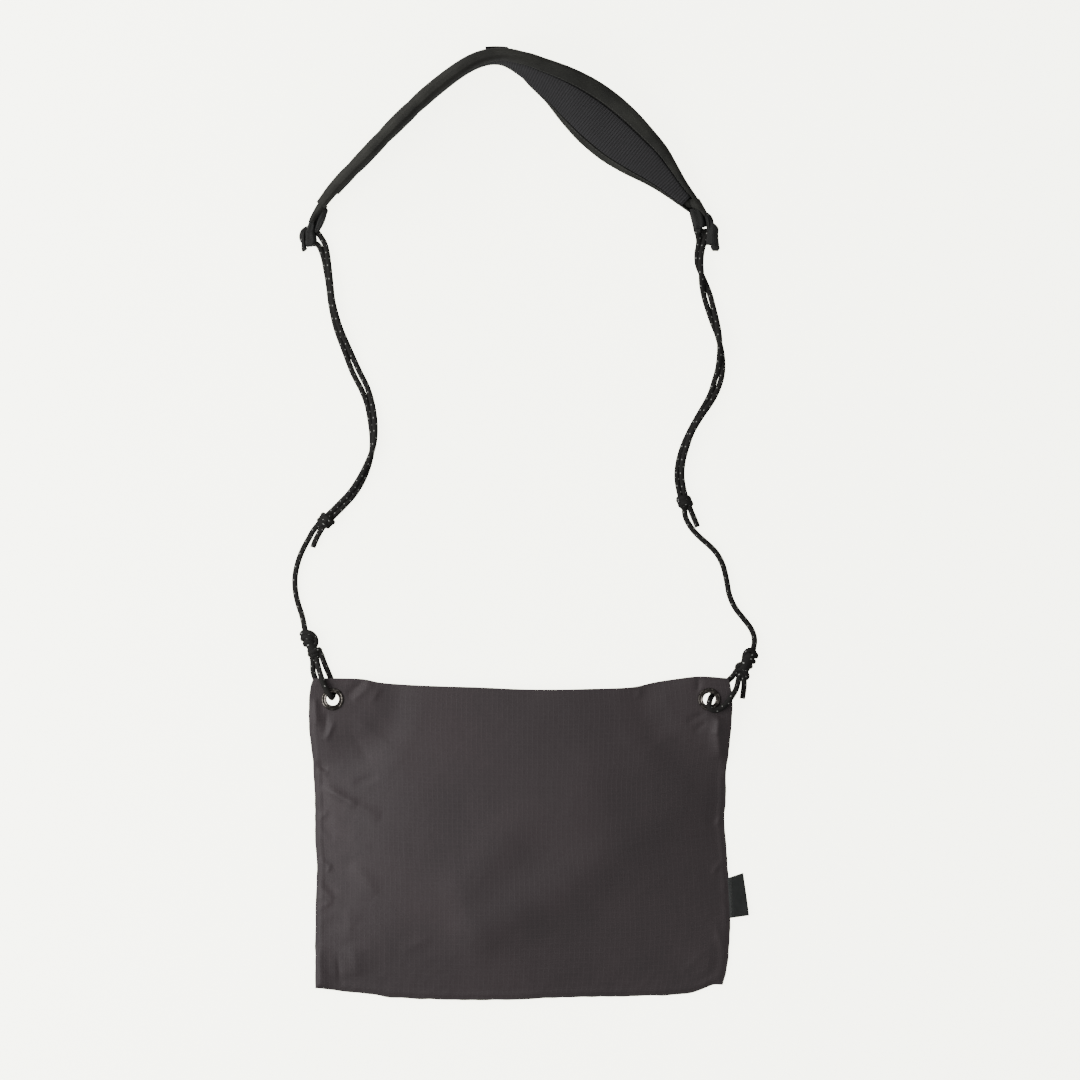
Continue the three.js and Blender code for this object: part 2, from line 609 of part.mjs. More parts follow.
function padLabel() {
  const middle = pad.reduce((a, b) => (b.centre.y > a.centre.y ? b : a));
  const seat = -(middle.thickness / 2 + gap);
  const along = new THREE.Vector3().crossVectors(middle.innerWay, middle.edgeWay);
  const rings = [-1, 1].map((side) =>
    [
      [1, seat], [1, seat - labelThickness], [-1, seat - labelThickness], [-1, seat],
    ].map(([edge, depth]) =>
      padPoint(middle, (edge * labelBreadth) / 2, depth).addScaledVector(along, (side * labelLength) / 2),
    ),
  );
  return loft(rings);
}

addPiece("pad_label", padLabel(), ribbonCloth);

// Webbing loops: a folded band that the cord's turn passes through, with its free ends over it

function ribbon(path, across, thickness) {
  const rings = path.map((row, i) => {
    const before = path[Math.max(0, i - 1)].at;
    const after = path[Math.min(path.length - 1, i + 1)].at;
    const normal = new THREE.Vector3().crossVectors(across, after.clone().sub(before)).normalize();
    const corner = (s, n) =>
      row.at.clone()
        .addScaledVector(across, (s * row.width) / 2)
        .addScaledVector(normal, (n * thickness) / 2);
    return [corner(-1, -1), corner(-1, 1), corner(1, 1), corner(1, -1)];
  });
  return loft(rings);
}

function bandBetween(points, width, turn = 0) {
  const first = new THREE.Vector3(...points[0]);
  const last = new THREE.Vector3(...points[points.length - 1]);
  const way = last.clone().sub(first).setZ(0).normalize();
  const across = new THREE.Vector3(way.y, -way.x, 0).applyAxisAngle(new THREE.Vector3(0, 0, 1), turn);
  const rows = points.map(([x, y, z, share = 1]) => ({
    at: new THREE.Vector3(x, y, z), width: width * share,
  }));
  return toSolid(ribbon(rows, across, webThickness));
}

const webLow = webThickness / 2 + 0.1;
const turnHeight = Math.max(...leftBight.map((point) => point[2]));
const webHigh = turnHeight + cordRadius + gap + webThickness / 2; // over the cord's turn

function webLoop(tip, fold) {
  const way = new THREE.Vector3(fold[0] - tip[0], fold[1] - tip[1], 0);
  const reach = way.length();
  way.normalize();
  const across = new THREE.Vector3(way.y, -way.x, 0);
  const bend = (webHigh - webLow) / 2;
  const rows = [];
  const add = (along, z, share) => {
    const pinch = webPinch / webWidth;
    const width = webWidth * (pinch + (1 - pinch) * share);
    rows.push({ at: new THREE.Vector3(tip[0], tip[1], z).addScaledVector(way, along), width });
  };
  const legs = [0, 0.3, 0.6, 0.85];
  legs.forEach((share) => add(share * (reach - bend * 0.5), webLow, 1 - smooth((share - 0.2) / 0.8)));
  for (let i = 0; i <= 6; i++) {
    const turn = -Math.PI / 2 + (i / 6) * Math.PI;
    add(reach - bend * 0.5 * (1 - Math.cos(turn)), (webLow + webHigh) / 2 + bend * Math.sin(turn), 0);
  }
  [...legs].reverse().forEach((share) => {
    add(share * (reach - bend * 0.5), webHigh, 1 - smooth((share - 0.2) / 0.8));
  });
  return toSolid(ribbon(rows, across, webThickness));
}

const flapLift = webHigh + webThickness * 0.8;
const tipTurn = 0.36; // slope between the pad's end and the webbing that meets it

// Where the webbing starts, clear of the pad's end: way is -1 off the left tip, 1 off the right.
function padTip(frame, way) {
  const along = new THREE.Vector3().crossVectors(frame.edgeWay, frame.innerWay).setZ(0).normalize();
  const flat = Math.abs(frame.edgeWay.z) < 0.7 ? frame.breadth : frame.thickness;
  const tip = frame.centre.clone().addScaledVector(along, way * (gap + (flat / 2) * tipTurn));
  return [tip.x, tip.y];
}

addPiece(
  "webbing_loop_left",
  toGeometry(
    webLoop(padTip(pad[0], -1), [-168.6, 481.8])
      .add(bandBetween([[-165, 494, flapLift], [-167, 487, flapLift], [-169.6, 479, flapLift],
        [-170.6, 472, flapLift * 0.92], [-170.8, 468.6, flapLift * 0.6]], webWidth, 0)),
  ),
  webbing,
);
addPiece(
  "webbing_loop_right",
  toGeometry(
    webLoop(padTip(pad[padSteps], 1), [145.6, 491.4])
      .add(bandBetween([[140.6, 500, flapLift], [141.6, 494, flapLift], [142.2, 486, flapLift],
        [143, 481.6, flapLift * 0.95]], webWidth * 0.8))
      .add(bandBetween([[146.6, 498, flapLift], [149.6, 492, flapLift], [152.6, 485, flapLift * 0.95],
        [153.8, 479, flapLift * 0.8], [154.6, 474, flapLift * 0.45], [154.8, 470.6, 1.4]],
        webWidth * 0.9)),
  ),
  webbing,
);

// Cords

function cordTube(points, sidesRound = cordSides) {
  const through = points.map((point) => new THREE.Vector3(...point));
  const route = new THREE.CatmullRomCurve3(through, false, "centripetal");
  const steps = Math.ceil(route.getLength() / (cordDiameter * 2.9));
  const corners = Array.from({ length: sidesRound }, (_, i) => {
    const turn = ((i + 0.5) / sidesRound) * 2 * Math.PI;
    return new THREE.Vector2(cordRadius * Math.cos(turn), cordRadius * Math.sin(turn));
  });
  return new THREE.ExtrudeGeometry(new THREE.Shape(corners), {
    steps: Math.max(steps, points.length), extrudePath: route, bevelEnabled: false,
  });
}

// One of the two runs of a pair: side is 1 for the run that starts on the right.
function pairRun(pair, side) {
  return pair.map(({ x, y, turn, apart }, i) => {
    const before = pair[Math.max(0, i - 1)];
    const after = pair[Math.min(pair.length - 1, i + 1)];
    const way = new THREE.Vector2(after.x - before.x, after.y - before.y).normalize();
    const half = (cordDiameter + cordGap + apart) / 2;
    const angle = THREE.MathUtils.degToRad(turn);
    const off = side * half * Math.cos(angle);
    const height = half * (Math.abs(Math.sin(angle)) + side * Math.sin(angle));
    const settle = i === pair.length - 1 ? 0.9 : 0; // the runs rise into their knot
    return [x - way.y * off, y + way.x * off, cordRadius + 0.08 + height + settle];
  });
}

const doubled = (pair, bight) => [...pairRun(pair, 1).reverse(), ...bight, ...pairRun(pair, -1)];
addPiece("cord_left_double", cordTube(doubled(leftPair, leftBight)), braid);
addPiece("cord_right_double", cordTube(doubled(rightPair, rightBight)), braid);
for (const [name, points] of Object.entries(cordRoutes)) addPiece(name, cordTube(points), braid);

// Knots: a flattened core along the knot with rings of cord round it

function knot({ x, y, heading, length, core, wraps }) {
  const widest = Math.max(...wraps.map((wrap) => wrap.radius));
  const way = THREE.MathUtils.degToRad(heading);
  const along = new THREE.Vector3(Math.cos(way), Math.sin(way), 0);
  const upwards = new THREE.Vector3(0, 0, 1);
  const side = new THREE.Vector3().crossVectors(upwards, along);
  const lift = widest * cordDiameter * knotFlattening + 0.05;
  const frame = new THREE.Matrix4().makeBasis(side, upwards.multiplyScalar(knotFlattening), along);
  frame.setPosition(x, y, lift);
  const middle = new THREE.CylinderGeometry(core * cordDiameter, core * cordDiameter, length, 8);
  middle.rotateX(Math.PI / 2);
  let solid = toSolid(middle.applyMatrix4(frame));
  for (const { at, radius } of wraps) {
    const ring = new THREE.TorusGeometry(radius * cordDiameter - cordRadius, cordRadius, 5, 9);
    ring.translate(0, 0, (at - 0.5) * length);
    const sink = (radius - widest) * cordDiameter * knotFlattening * wrapSettling;
    ring.applyMatrix4(frame).translate(0, 0, sink);
    solid = solid.add(toSolid(ring));
  }
  return toGeometry(solid);
}

for (const [name, values] of Object.entries(knots)) addPiece(name, knot(values), braid);

export default musette;
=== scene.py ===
import math

import bpy
import numpy as np
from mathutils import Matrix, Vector, noise


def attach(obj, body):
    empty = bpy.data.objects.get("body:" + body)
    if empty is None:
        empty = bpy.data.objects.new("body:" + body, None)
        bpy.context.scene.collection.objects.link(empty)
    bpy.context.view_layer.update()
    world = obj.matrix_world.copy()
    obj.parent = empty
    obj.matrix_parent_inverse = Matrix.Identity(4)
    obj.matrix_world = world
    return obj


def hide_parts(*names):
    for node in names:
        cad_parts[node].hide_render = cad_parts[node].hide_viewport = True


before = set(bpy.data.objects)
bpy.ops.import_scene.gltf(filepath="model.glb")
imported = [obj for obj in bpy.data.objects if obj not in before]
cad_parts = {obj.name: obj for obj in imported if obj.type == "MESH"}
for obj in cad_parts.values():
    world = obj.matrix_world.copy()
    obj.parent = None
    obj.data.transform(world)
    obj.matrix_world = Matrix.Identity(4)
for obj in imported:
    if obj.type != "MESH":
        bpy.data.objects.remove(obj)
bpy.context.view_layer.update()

scene = bpy.context.scene


# Camera: straight above, as the bag was laid out

cameraView = {"across": 0.0152, "along": 0.2384, "frameWidth": 0.864, "lens": 200, "sensor": 36}


def makeCamera(view):
    lens = bpy.data.cameras.new("camera")
    lens.lens = view["lens"]
    lens.sensor_width = view["sensor"]
    lens.clip_end = 20
    camera = bpy.data.objects.new("camera", lens)
    height = view["frameWidth"] * view["lens"] / view["sensor"]
    camera.location = (view["across"], view["along"], height)
    scene.collection.objects.link(camera)
    scene.camera = camera


makeCamera(cameraView)
print("camera placed")


# Small helpers for shader and geometry nodes


def tint(code):
    parts = [int(code[i : i + 2], 16) / 255 for i in (0, 2, 4)]
    return tuple(p / 12.92 if p <= 0.04045 else ((p + 0.055) / 1.055) ** 2.4 for p in parts)


def wire(tree, kind, settings=None, **sockets):
    node = tree.nodes.new(kind)
    for key, value in (settings or {}).items():
        setattr(node, key, value)
    for key, value in sockets.items():
        socket = node.inputs[key.replace("_", " ")]
        if isinstance(value, bpy.types.NodeSocket):
            tree.links.new(value, socket)
        else:
            socket.default_value = value
    return node


def maths(tree, operation, *values):
    node = tree.nodes.new("ShaderNodeMath")
    node.operation = operation
    for socket, value in zip(node.inputs, values):
        if isinstance(value, bpy.types.NodeSocket):
            tree.links.new(value, socket)
        else:
            socket.default_value = value
    return node.outputs[0]


def ramp(tree, value, start, end, low=0.0, high=1.0):
    node = wire(tree, "ShaderNodeMapRange", {"interpolation_type": "SMOOTHSTEP"})
    for socket, number in zip(node.inputs, (value, start, end, low, high)):
        if isinstance(number, bpy.types.NodeSocket):
            tree.links.new(number, socket)
        else:
            socket.default_value = number
    return node.outputs[0]


def blend(tree, share, first, second):
    node = tree.nodes.new("ShaderNodeMix")
    node.data_type = "RGBA"
    for index, value in ((0, share), (6, first), (7, second)):
        if isinstance(value, bpy.types.NodeSocket):
            tree.links.new(value, node.inputs[index])
        elif index == 0:
            node.inputs[0].default_value = value
        else:
            node.inputs[index].default_value = (*value, 1)
    return node.outputs[2]


def newMaterial(name, **fixed):
    material = bpy.data.materials.new(name)
    material.use_nodes = True
    tree = material.node_tree
    shader = tree.nodes["Principled BSDF"]
    for key, value in fixed.items():
        shader.inputs[key.replace("_", " ")].default_value = value
    return material, tree, shader


def clothPlace(tree):
    place = wire(tree, "ShaderNodeUVMap", {"uv_map": "cloth"})
    split = wire(tree, "ShaderNodeSeparateXYZ", Vector=place.outputs[0])
    return place.outputs[0], split.outputs[0], split.outputs[1]


def roughNoise(tree, place, scale, detail=3.0, roughness=0.55):
    return wire(
        tree, "ShaderNodeTexNoise", Vector=place, Scale=scale, Detail=detail, Roughness=roughness
    ).outputs[0]


def bump(tree, shader, height, distance, strength=1.0, under=None):
    node = wire(tree, "ShaderNodeBump", Height=height, Distance=distance, Strength=strength)
    if under is not None:
        tree.links.new(under, node.inputs["Normal"])
    tree.links.new(node.outputs[0], shader.inputs["Normal"])
    return node.outputs[0]


def wave(tree, value, pitch):
    return maths(tree, "SINE", maths(tree, "MULTIPLY", value, 2 * math.pi / pitch))


# Materials

ripstopLook = {
    "light": "2f2729", "dark": "292224", "line": "383032", "grid": 0.004, "yarn": 0.0004,
    "lineEdge": (0.00012, 0.00045), "lineShare": 0.28, "slubShare": 0.22, "slubs": (40.0, 900.0, 1.0),
    "patches": 11.0, "crumple": 26.0, "crumpleDepth": 0.0009, "weaveDepth": 0.00012, "ribShare": 0.75,
}


def ripstopMaterial(look):
    material, tree, shader = newMaterial("ripstop", Roughness=0.62, Sheen_Weight=0.12)
    shader.inputs["Sheen Roughness"].default_value = 0.4
    shader.inputs["Specular IOR Level"].default_value = 0.38
    place, across, along = clothPlace(tree)
    lines = [
        ramp(tree, maths(tree, "PINGPONG", value, look["grid"] / 2), *look["lineEdge"], 1.0, 0.0)
        for value in (across, along)
    ]
    grid = maths(tree, "MAXIMUM", *lines)
    weave = maths(
        tree, "MULTIPLY", wave(tree, across, look["yarn"]), wave(tree, along, look["yarn"])
    )
    patches = ramp(tree, roughNoise(tree, place, look["patches"], 4.0), 0.35, 0.65)
    slubs = wire(tree, "ShaderNodeMapping", Vector=place, Scale=look["slubs"]).outputs[0]
    slub = roughNoise(tree, slubs, 1.0, 2.0)
    cloth = blend(tree, patches, tint(look["dark"]), tint(look["light"]))
    for height, share in ((slub, look["slubShare"]), (grid, look["lineShare"])):
        cloth = blend(tree, maths(tree, "MULTIPLY", height, share), cloth, tint(look["line"]))
    tree.links.new(cloth, shader.inputs["Base Color"])
    crumple = roughNoise(tree, place, look["crumple"], 5.0, 0.6)
    soft = bump(tree, shader, crumple, look["crumpleDepth"], 0.35)
    threads = maths(tree, "MULTIPLY", weave, 1 - look["ribShare"])
    ribs = maths(tree, "MULTIPLY_ADD", grid, look["ribShare"], threads)
    bump(tree, shader, ribs, look["weaveDepth"], 0.55, soft)
    return material


# gap is a painted shade colour: the darkness in the grooves between the braid's strands
braidLook = {
    "yarn": "252423", "gap": "171716", "fleck": "7f807c", "strands": 12, "pitch": 0.0012,
    "fleckPitch": 0.0107, "fleckLength": 0.0008, "columns": (0.085, 0.93), "fleckEdge": (0.02, 0.04),
    "roughness": 0.85, "fleckRoughness": 0.45, "depth": 0.00008, "fuzz": 2600.0, "fuzzDepth": 0.00006,
}


def braidMaterial(look):
    material, tree, shader = newMaterial("cordBraid")
    shader.inputs["Specular IOR Level"].default_value = 0.12
    around, along = clothPlace(tree)[1:]
    turns = maths(tree, "MULTIPLY", around, look["strands"])
    rise = maths(tree, "DIVIDE", along, look["pitch"])
    first = maths(tree, "ADD", turns, rise)
    second = maths(tree, "SUBTRACT", turns, rise)
    humps = [
        maths(tree, "ABSOLUTE", maths(tree, "SINE", maths(tree, "MULTIPLY", phase, math.pi)))
        for phase in (first, second)
    ]
    cells = maths(tree, "ADD", maths(tree, "FLOOR", first), maths(tree, "FLOOR", second))
    over = maths(tree, "PINGPONG", cells, 1.0)
    height = maths(tree, "MULTIPLY", humps[0], over)
    height = maths(
        tree, "MULTIPLY_ADD", humps[1], maths(tree, "SUBTRACT", 1.0, over), height
    )
    flecks = None
    for column, shift in zip(look["columns"], (0.0, 0.5)):
        side = maths(tree, "ABSOLUTE", maths(tree, "SUBTRACT", around, column))
        shifted = maths(tree, "ADD", along, shift * look["fleckPitch"])
        off = maths(tree, "PINGPONG", shifted, look["fleckPitch"] / 2)
        spot = maths(
            tree, "MULTIPLY",
            ramp(tree, side, *look["fleckEdge"], 1.0, 0.0),
            ramp(tree, off, look["fleckLength"] / 2, look["fleckLength"] * 0.75, 1.0, 0.0),
        )
        flecks = spot if flecks is None else maths(tree, "MAXIMUM", flecks, spot)
    # Painted shade: the yarn goes darker towards the grooves between strands, following the braid's height
    yarn = blend(tree, height, tint(look["gap"]), tint(look["yarn"]))
    tree.links.new(blend(tree, flecks, yarn, tint(look["fleck"])), shader.inputs["Base Color"])
    gloss = ramp(tree, flecks, 0.0, 1.0, look["roughness"], look["fleckRoughness"])
    tree.links.new(gloss, shader.inputs["Roughness"])
    coords = wire(tree, "ShaderNodeTexCoord").outputs["Object"]
    fuzz = bump(tree, shader, roughNoise(tree, coords, look["fuzz"], 2.0), look["fuzzDepth"], 0.4)
    bump(tree, shader, height, look["depth"], 0.5, fuzz)
    return material


bindingLook = {
    "light": "2c2c28", "dark": "1e1e1b", "yarn": 0.00055, "depth": 0.0001, "patches": 38.0,
    "dents": 120.0, "dentDepth": 0.0009,
}


def bindingMaterial(look):
    material, tree, shader = newMaterial("padCloth", Roughness=0.7, Sheen_Weight=0.03)
    shader.inputs["Specular IOR Level"].default_value = 0.25
    shader.inputs["Sheen Roughness"].default_value = 0.45
    coords = wire(tree, "ShaderNodeTexCoord").outputs["Object"]
    split = wire(tree, "ShaderNodeSeparateXYZ", Vector=coords)
    x, y, z = split.outputs[:3]
    patches = ramp(tree, roughNoise(tree, coords, look["patches"], 4.0), 0.32, 0.68)
    tree.links.new(
        blend(tree, patches, tint(look["dark"]), tint(look["light"])), shader.inputs["Base Color"]
    )
    slant = maths(tree, "ADD", maths(tree, "ADD", x, y), z)
    cross = maths(tree, "SUBTRACT", maths(tree, "SUBTRACT", x, y), z)
    weave = maths(tree, "MULTIPLY", wave(tree, slant, look["yarn"]), wave(tree, cross, look["yarn"]))
    dents = bump(tree, shader, roughNoise(tree, coords, look["dents"], 4.0), look["dentDepth"], 0.3)
    bump(tree, shader, weave, look["depth"], 0.5, dents)
    return material


# hole is a painted shade colour: the darkness down in the mesh's holes
meshLook = {
    "yarn": "323133", "hole": "10100f", "pitch": 0.0026, "slant": 0.6, "depth": 0.00045,
    "thread": 0.0005, "threadDepth": 0.00012, "patches": 30.0,
}


def airMeshMaterial(look):
    material, tree, shader = newMaterial("airMesh", Roughness=0.8, Sheen_Weight=0.03)
    shader.inputs["Specular IOR Level"].default_value = 0.25
    place, across, along = clothPlace(tree)
    lean = maths(tree, "MULTIPLY", along, look["slant"])
    slant = maths(tree, "ADD", across, lean)
    cross = maths(tree, "SUBTRACT", across, lean)
    cells = maths(
        tree, "MULTIPLY", wave(tree, slant, look["pitch"]), wave(tree, cross, look["pitch"])
    )
    # Painted shade: the holes between the yarns are coloured dark, as shade in the recesses
    yarns = ramp(tree, cells, 0.05, 0.55, 1.0, 0.0)
    threads = wave(tree, maths(tree, "ADD", slant, along), look["thread"])
    patches = ramp(tree, roughNoise(tree, place, look["patches"]), 0.3, 0.7, 0.86, 1.0)
    depth = maths(tree, "MULTIPLY", yarns, patches)
    tree.links.new(
        blend(tree, depth, tint(look["hole"]), tint(look["yarn"])), shader.inputs["Base Color"]
    )
    fine = bump(tree, shader, threads, look["threadDepth"], 0.4)
    bump(tree, shader, yarns, look["depth"], 0.8, fine)
    return material


# dark is a painted shade colour in the grooves between the ribs, and also the colour of the random patches
webbingLook = {
    "light": "30302f", "dark": "1b1b1a", "rib": 0.0012, "zigzag": 0.0022, "yarn": 0.0007,
    "yarnShare": 0.35, "depth": 0.00022, "patches": 90.0, "crush": 260.0, "crushDepth": 0.0006,
}


def webbingMaterial(look):
    material, tree, shader = newMaterial("webbing", Roughness=0.7, Sheen_Weight=0.03)
    shader.inputs["Specular IOR Level"].default_value = 0.25
    shader.inputs["Sheen Roughness"].default_value = 0.4
    place, across, along = clothPlace(tree)
    zigzag = maths(tree, "PINGPONG", across, look["zigzag"])
    ribs = wave(tree, maths(tree, "ADD", along, zigzag), look["rib"])
    yarns = wave(tree, across, look["yarn"])
    height = maths(tree, "MULTIPLY_ADD", yarns, look["yarnShare"], ribs)
    # Painted shade: darker down in the grooves between the ribs, lighter on the rib tops, mixed with
    # random patches
    ribShade = ramp(tree, height, -1.0, 1.1)
    wear = ramp(tree, roughNoise(tree, place, look["patches"]), 0.3, 0.7, 0.55, 1.0)
    patches = maths(tree, "MULTIPLY", ribShade, wear)
    tree.links.new(
        blend(tree, patches, tint(look["dark"]), tint(look["light"])), shader.inputs["Base Color"]
    )
    crush = bump(tree, shader, roughNoise(tree, place, look["crush"], 4.0), look["crushDepth"], 0.4)
    bump(tree, shader, height, look["depth"], 0.7, crush)
    return material


ribbonLook = {
    "light": "232524", "dark": "1a1c1b", "rib": 0.00045, "depth": 0.00008, "patches": 60.0,
    "waves": 140.0, "waveDepth": 0.0005,
}


def ribbonMaterial(look):
    material, tree, shader = newMaterial("ribbon", Roughness=0.5, Sheen_Weight=0.05)
    shader.inputs["Specular IOR Level"].default_value = 0.25
    place, _, along = clothPlace(tree)
    ribs = wave(tree, along, look["rib"])
    patches = ramp(tree, roughNoise(tree, place, look["patches"]), 0.3, 0.7)
    tree.links.new(
        blend(tree, patches, tint(look["dark"]), tint(look["light"])), shader.inputs["Base Color"]
    )
    waves = bump(tree, shader, roughNoise(tree, place, look["waves"]), look["waveDepth"], 0.3)
    bump(tree, shader, ribs, look["depth"], 0.5, waves)
    return material


gunmetalLook = {
    "base": "3b3835", "worn": "77726c", "wear": 420.0, "roughness": (0.1, 0.2), "pits": 900.0,
    "pitDepth": 0.00004,
}


def gunmetalMaterial(look):
    material, tree, shader = newMaterial("gunmetal", Metallic=1.0)
    coords = wire(tree, "ShaderNodeTexCoord").outputs["Object"]
    wear = ramp(tree, roughNoise(tree, coords, look["wear"], 5.0), 0.45, 0.7)
    tree.links.new(
        blend(tree, wear, tint(look["base"]), tint(look["worn"])), shader.inputs["Base Color"]
    )
    tree.links.new(ramp(tree, wear, 0.0, 1.0, *look["roughness"]), shader.inputs["Roughness"])
    bump(tree, shader, roughNoise(tree, coords, look["pits"], 2.0), look["pitDepth"], 0.2)
    return material


threadLook = {"dark": "383835", "lighter": 1.6, "twist": 1800.0, "depth": 0.00005}


def threadMaterial(look):
    material, tree, shader = newMaterial("thread", Roughness=0.55, Sheen_Weight=0.1)
    coords = wire(tree, "ShaderNodeTexCoord").outputs["Object"]
    twist = roughNoise(tree, coords, look["twist"], 2.0)
    dark = tint(look["dark"])
    light = tuple(c * look["lighter"] for c in dark)
    tree.links.new(blend(tree, twist, dark, light), shader.inputs["Base Color"])
    bump(tree, shader, twist, look["depth"], 0.4)
    return material


ripstop = ripstopMaterial(ripstopLook)
braid = braidMaterial(braidLook)
padCloth = bindingMaterial(bindingLook)
airMesh = airMeshMaterial(meshLook)
webbing = webbingMaterial(webbingLook)
ribbon = ribbonMaterial(ribbonLook)
gunmetal = gunmetalMaterial(gunmetalLook)
thread = threadMaterial(threadLook)
print("materials made")


# Mesh helpers


def unit(v):
    return v / np.linalg.norm(v, axis=-1, keepdims=True)


def smoothStep(t):
    t = np.clip(t, 0, 1)
    return t * t * (3 - 2 * t)


def enclosed(points, faces):
    total = 0.0
    for face in faces:
        a = points[face[0]]
        for i in range(1, len(face) - 1):
            total += np.dot(a, np.cross(points[face[i]], points[face[i + 1]]))
    return total


def makePiece(name, points, faces, corners, material):
    if enclosed(points, faces) < 0:
        faces = [face[::-1] for face in faces]
        corners = [corner[::-1] for corner in corners]
    mesh = bpy.data.meshes.new(name)
    mesh.from_pydata(points.tolist(), [], faces)
    layer = mesh.uv_layers.new(name="cloth")
    flat = np.array([value for corner in corners for pair in corner for value in pair])
    layer.data.foreach_set("uv", flat)
    mesh.polygons.foreach_set("use_smooth", [True] * len(mesh.polygons))
    mesh.materials.append(material)
    mesh.update()
    piece = bpy.data.objects.new(name, mesh)
    scene.collection.objects.link(piece)
    return piece


# Faces and cloth places of a body through rings of points, closed at both ends
def ringBody(rings, across, along):
    rings = np.asarray(rings, float)
    count, sides = rings.shape[:2]
    faces, corners = [], []
    for i in range(count - 1):
        for j in range(sides):
            k = (j + 1) % sides
            faces.append((i * sides + j, i * sides + k, (i + 1) * sides + k, (i + 1) * sides + j))
            corners.append((
                (across[j], along[i]), (across[j + 1], along[i]),
                (across[j + 1], along[i + 1]), (across[j], along[i + 1]),
            ))
    for row, order in ((0, -1), (count - 1, 1)):
        ring = list(range(row * sides, row * sides + sides))[::order]
        faces.append(tuple(ring))
        corners.append([(across[j % sides], along[row]) for j in ring])
    return rings.reshape(-1, 3), faces, corners


def applied(piece):
    graph = bpy.context.evaluated_depsgraph_get()
    graph.update()
    return bpy.data.meshes.new_from_object(piece.evaluated_get(graph))


def joined(bodies):
    points, faces, corners, start = [], [], [], 0
    for bodyPoints, bodyFaces, bodyCorners in bodies:
        if enclosed(bodyPoints, bodyFaces) < 0:
            bodyFaces = [face[::-1] for face in bodyFaces]
            bodyCorners = [corner[::-1] for corner in bodyCorners]
        points.append(bodyPoints)
        faces += [tuple(i + start for i in face) for face in bodyFaces]
        corners += bodyCorners
        start += len(bodyPoints)
    return np.vstack(points), faces, corners


# Centripetal curve through the route's points, with even steps
def curveThrough(points, step):
    p = np.asarray(points, float)
    ends = np.vstack([2 * p[0] - p[1], p, 2 * p[-1] - p[-2]])
    out = []
    for i in range(len(p) - 1):
        a, b, c, d = ends[i : i + 4]
        first, middle, last = (np.linalg.norm(v[:3]) ** 0.5 for v in (b - a, c - b, d - c))
        startWay = ((b - a) / first - (c - a) / (first + middle) + (c - b) / middle) * middle
        endWay = ((c - b) / middle - (d - b) / (middle + last) + (d - c) / last) * middle
        for t in np.linspace(0, 1, 24, endpoint=False):
            out.append(
                b + startWay * t + (3 * (c - b) - 2 * startWay - endWay) * t**2
                + (2 * (b - c) + startWay + endWay) * t**3
            )
    out = np.array(out + [p[-1]])
    lengths = np.linalg.norm(np.diff(out[:, :3], axis=0), axis=1)
    run = np.concatenate([[0], np.cumsum(lengths)])
    even = np.linspace(0, run[-1], max(3, round(run[-1] / step) + 1))
    return np.column_stack([np.interp(even, run, out[:, k]) for k in range(out.shape[1])])


def runLength(path):
    return np.concatenate([[0], np.cumsum(np.linalg.norm(np.diff(path[:, :3], axis=0), axis=1))])


tube = {"sides": 14, "tip": 0.9, "upright": 0.2}  # the tip's radius is a share of the tube's


def tubeBody(path, radius, sides=tube["sides"], runStart=0.0):
    ways = unit(np.gradient(path, axis=0))
    up = np.array([0.0, 0.0, 1.0])
    side = up
    run = runLength(path)
    rings = []
    for i, way in enumerate(ways):
        carried = unit(side - np.dot(side, way) * way)
        lifted = up - np.dot(up, way) * way
        side = unit(carried + tube["upright"] * lifted)
        cross = np.cross(way, side)
        toTip = min(run[i], run[-1] - run[i])
        size = radius * min(1, tube["tip"] + (1 - tube["tip"]) * (toTip / radius) ** 0.5)
        turns = np.arange(sides) / sides * 2 * math.pi
        rings.append(path[i] + size * (np.outer(np.cos(turns), side) + np.outer(np.sin(turns), cross)))
    return ringBody(rings, np.arange(sides + 1) / sides, run + runStart)


# Cords: one for each side's strap run, from its eyelet knot to its free end, and one for each
# turn through an eyelet. The routes are the ones of the solids.

cordSize = {
    "diameter": 0.00375, "radius": 0.0023, "between": 0.00015, "floorGap": 0.00008, "lastLift": 0.0009,
    "step": 0.0012, "sides": 16,
}

# Two runs side by side: the middle between them, how far they turn about each other in degrees,
# and how far apart they lie
pairs = {
    "left": [
        (-0.157, 0.468, 10, 0), (-0.1545, 0.454, 48, 0), (-0.153, 0.443, 60, 0),
        (-0.1515, 0.43, 62, 0), (-0.149, 0.418, 50, 0), (-0.1455, 0.406, 34, 0),
        (-0.1395, 0.391, 8, 0.0002), (-0.132, 0.373, 0, 0.0013), (-0.125, 0.359, 0, 0.001),
        (-0.121, 0.347, 10, 0.0002), (-0.1185, 0.332, 28, 0), (-0.118, 0.319, 60, 0),
        (-0.1195, 0.308, 90, 0), (-0.124, 0.295, 125, 0), (-0.1295, 0.284, 148, 0),
        (-0.136, 0.2745, 160, 0), (-0.1435, 0.2665, 170, 0), (-0.1518, 0.2582, 180, 0),
    ],
    "right": [
        (0.144, 0.475, 10, 0), (0.1425, 0.467, 28, 0), (0.1425, 0.459, 50, 0),
        (0.1442, 0.451, 92, 0), (0.146, 0.4435, 140, 0), (0.1487, 0.434, 180, 0.001),
        (0.1512, 0.425, 185, 0.0008), (0.155, 0.412, 210, 0), (0.1573, 0.404, 245, 0),
        (0.1588, 0.396, 270, 0), (0.1597, 0.387, 300, 0), (0.1593, 0.375, 350, 0),
        (0.1573, 0.366, 360, 0.0009), (0.1527, 0.3535, 375, 0), (0.142, 0.336, 415, 0),
        (0.1358, 0.325, 420, 0), (0.131, 0.313, 400, 0), (0.1277, 0.301, 390, 0),
        (0.1267, 0.289, 370, 0), (0.1291, 0.2746, 360, 0),
    ],
}
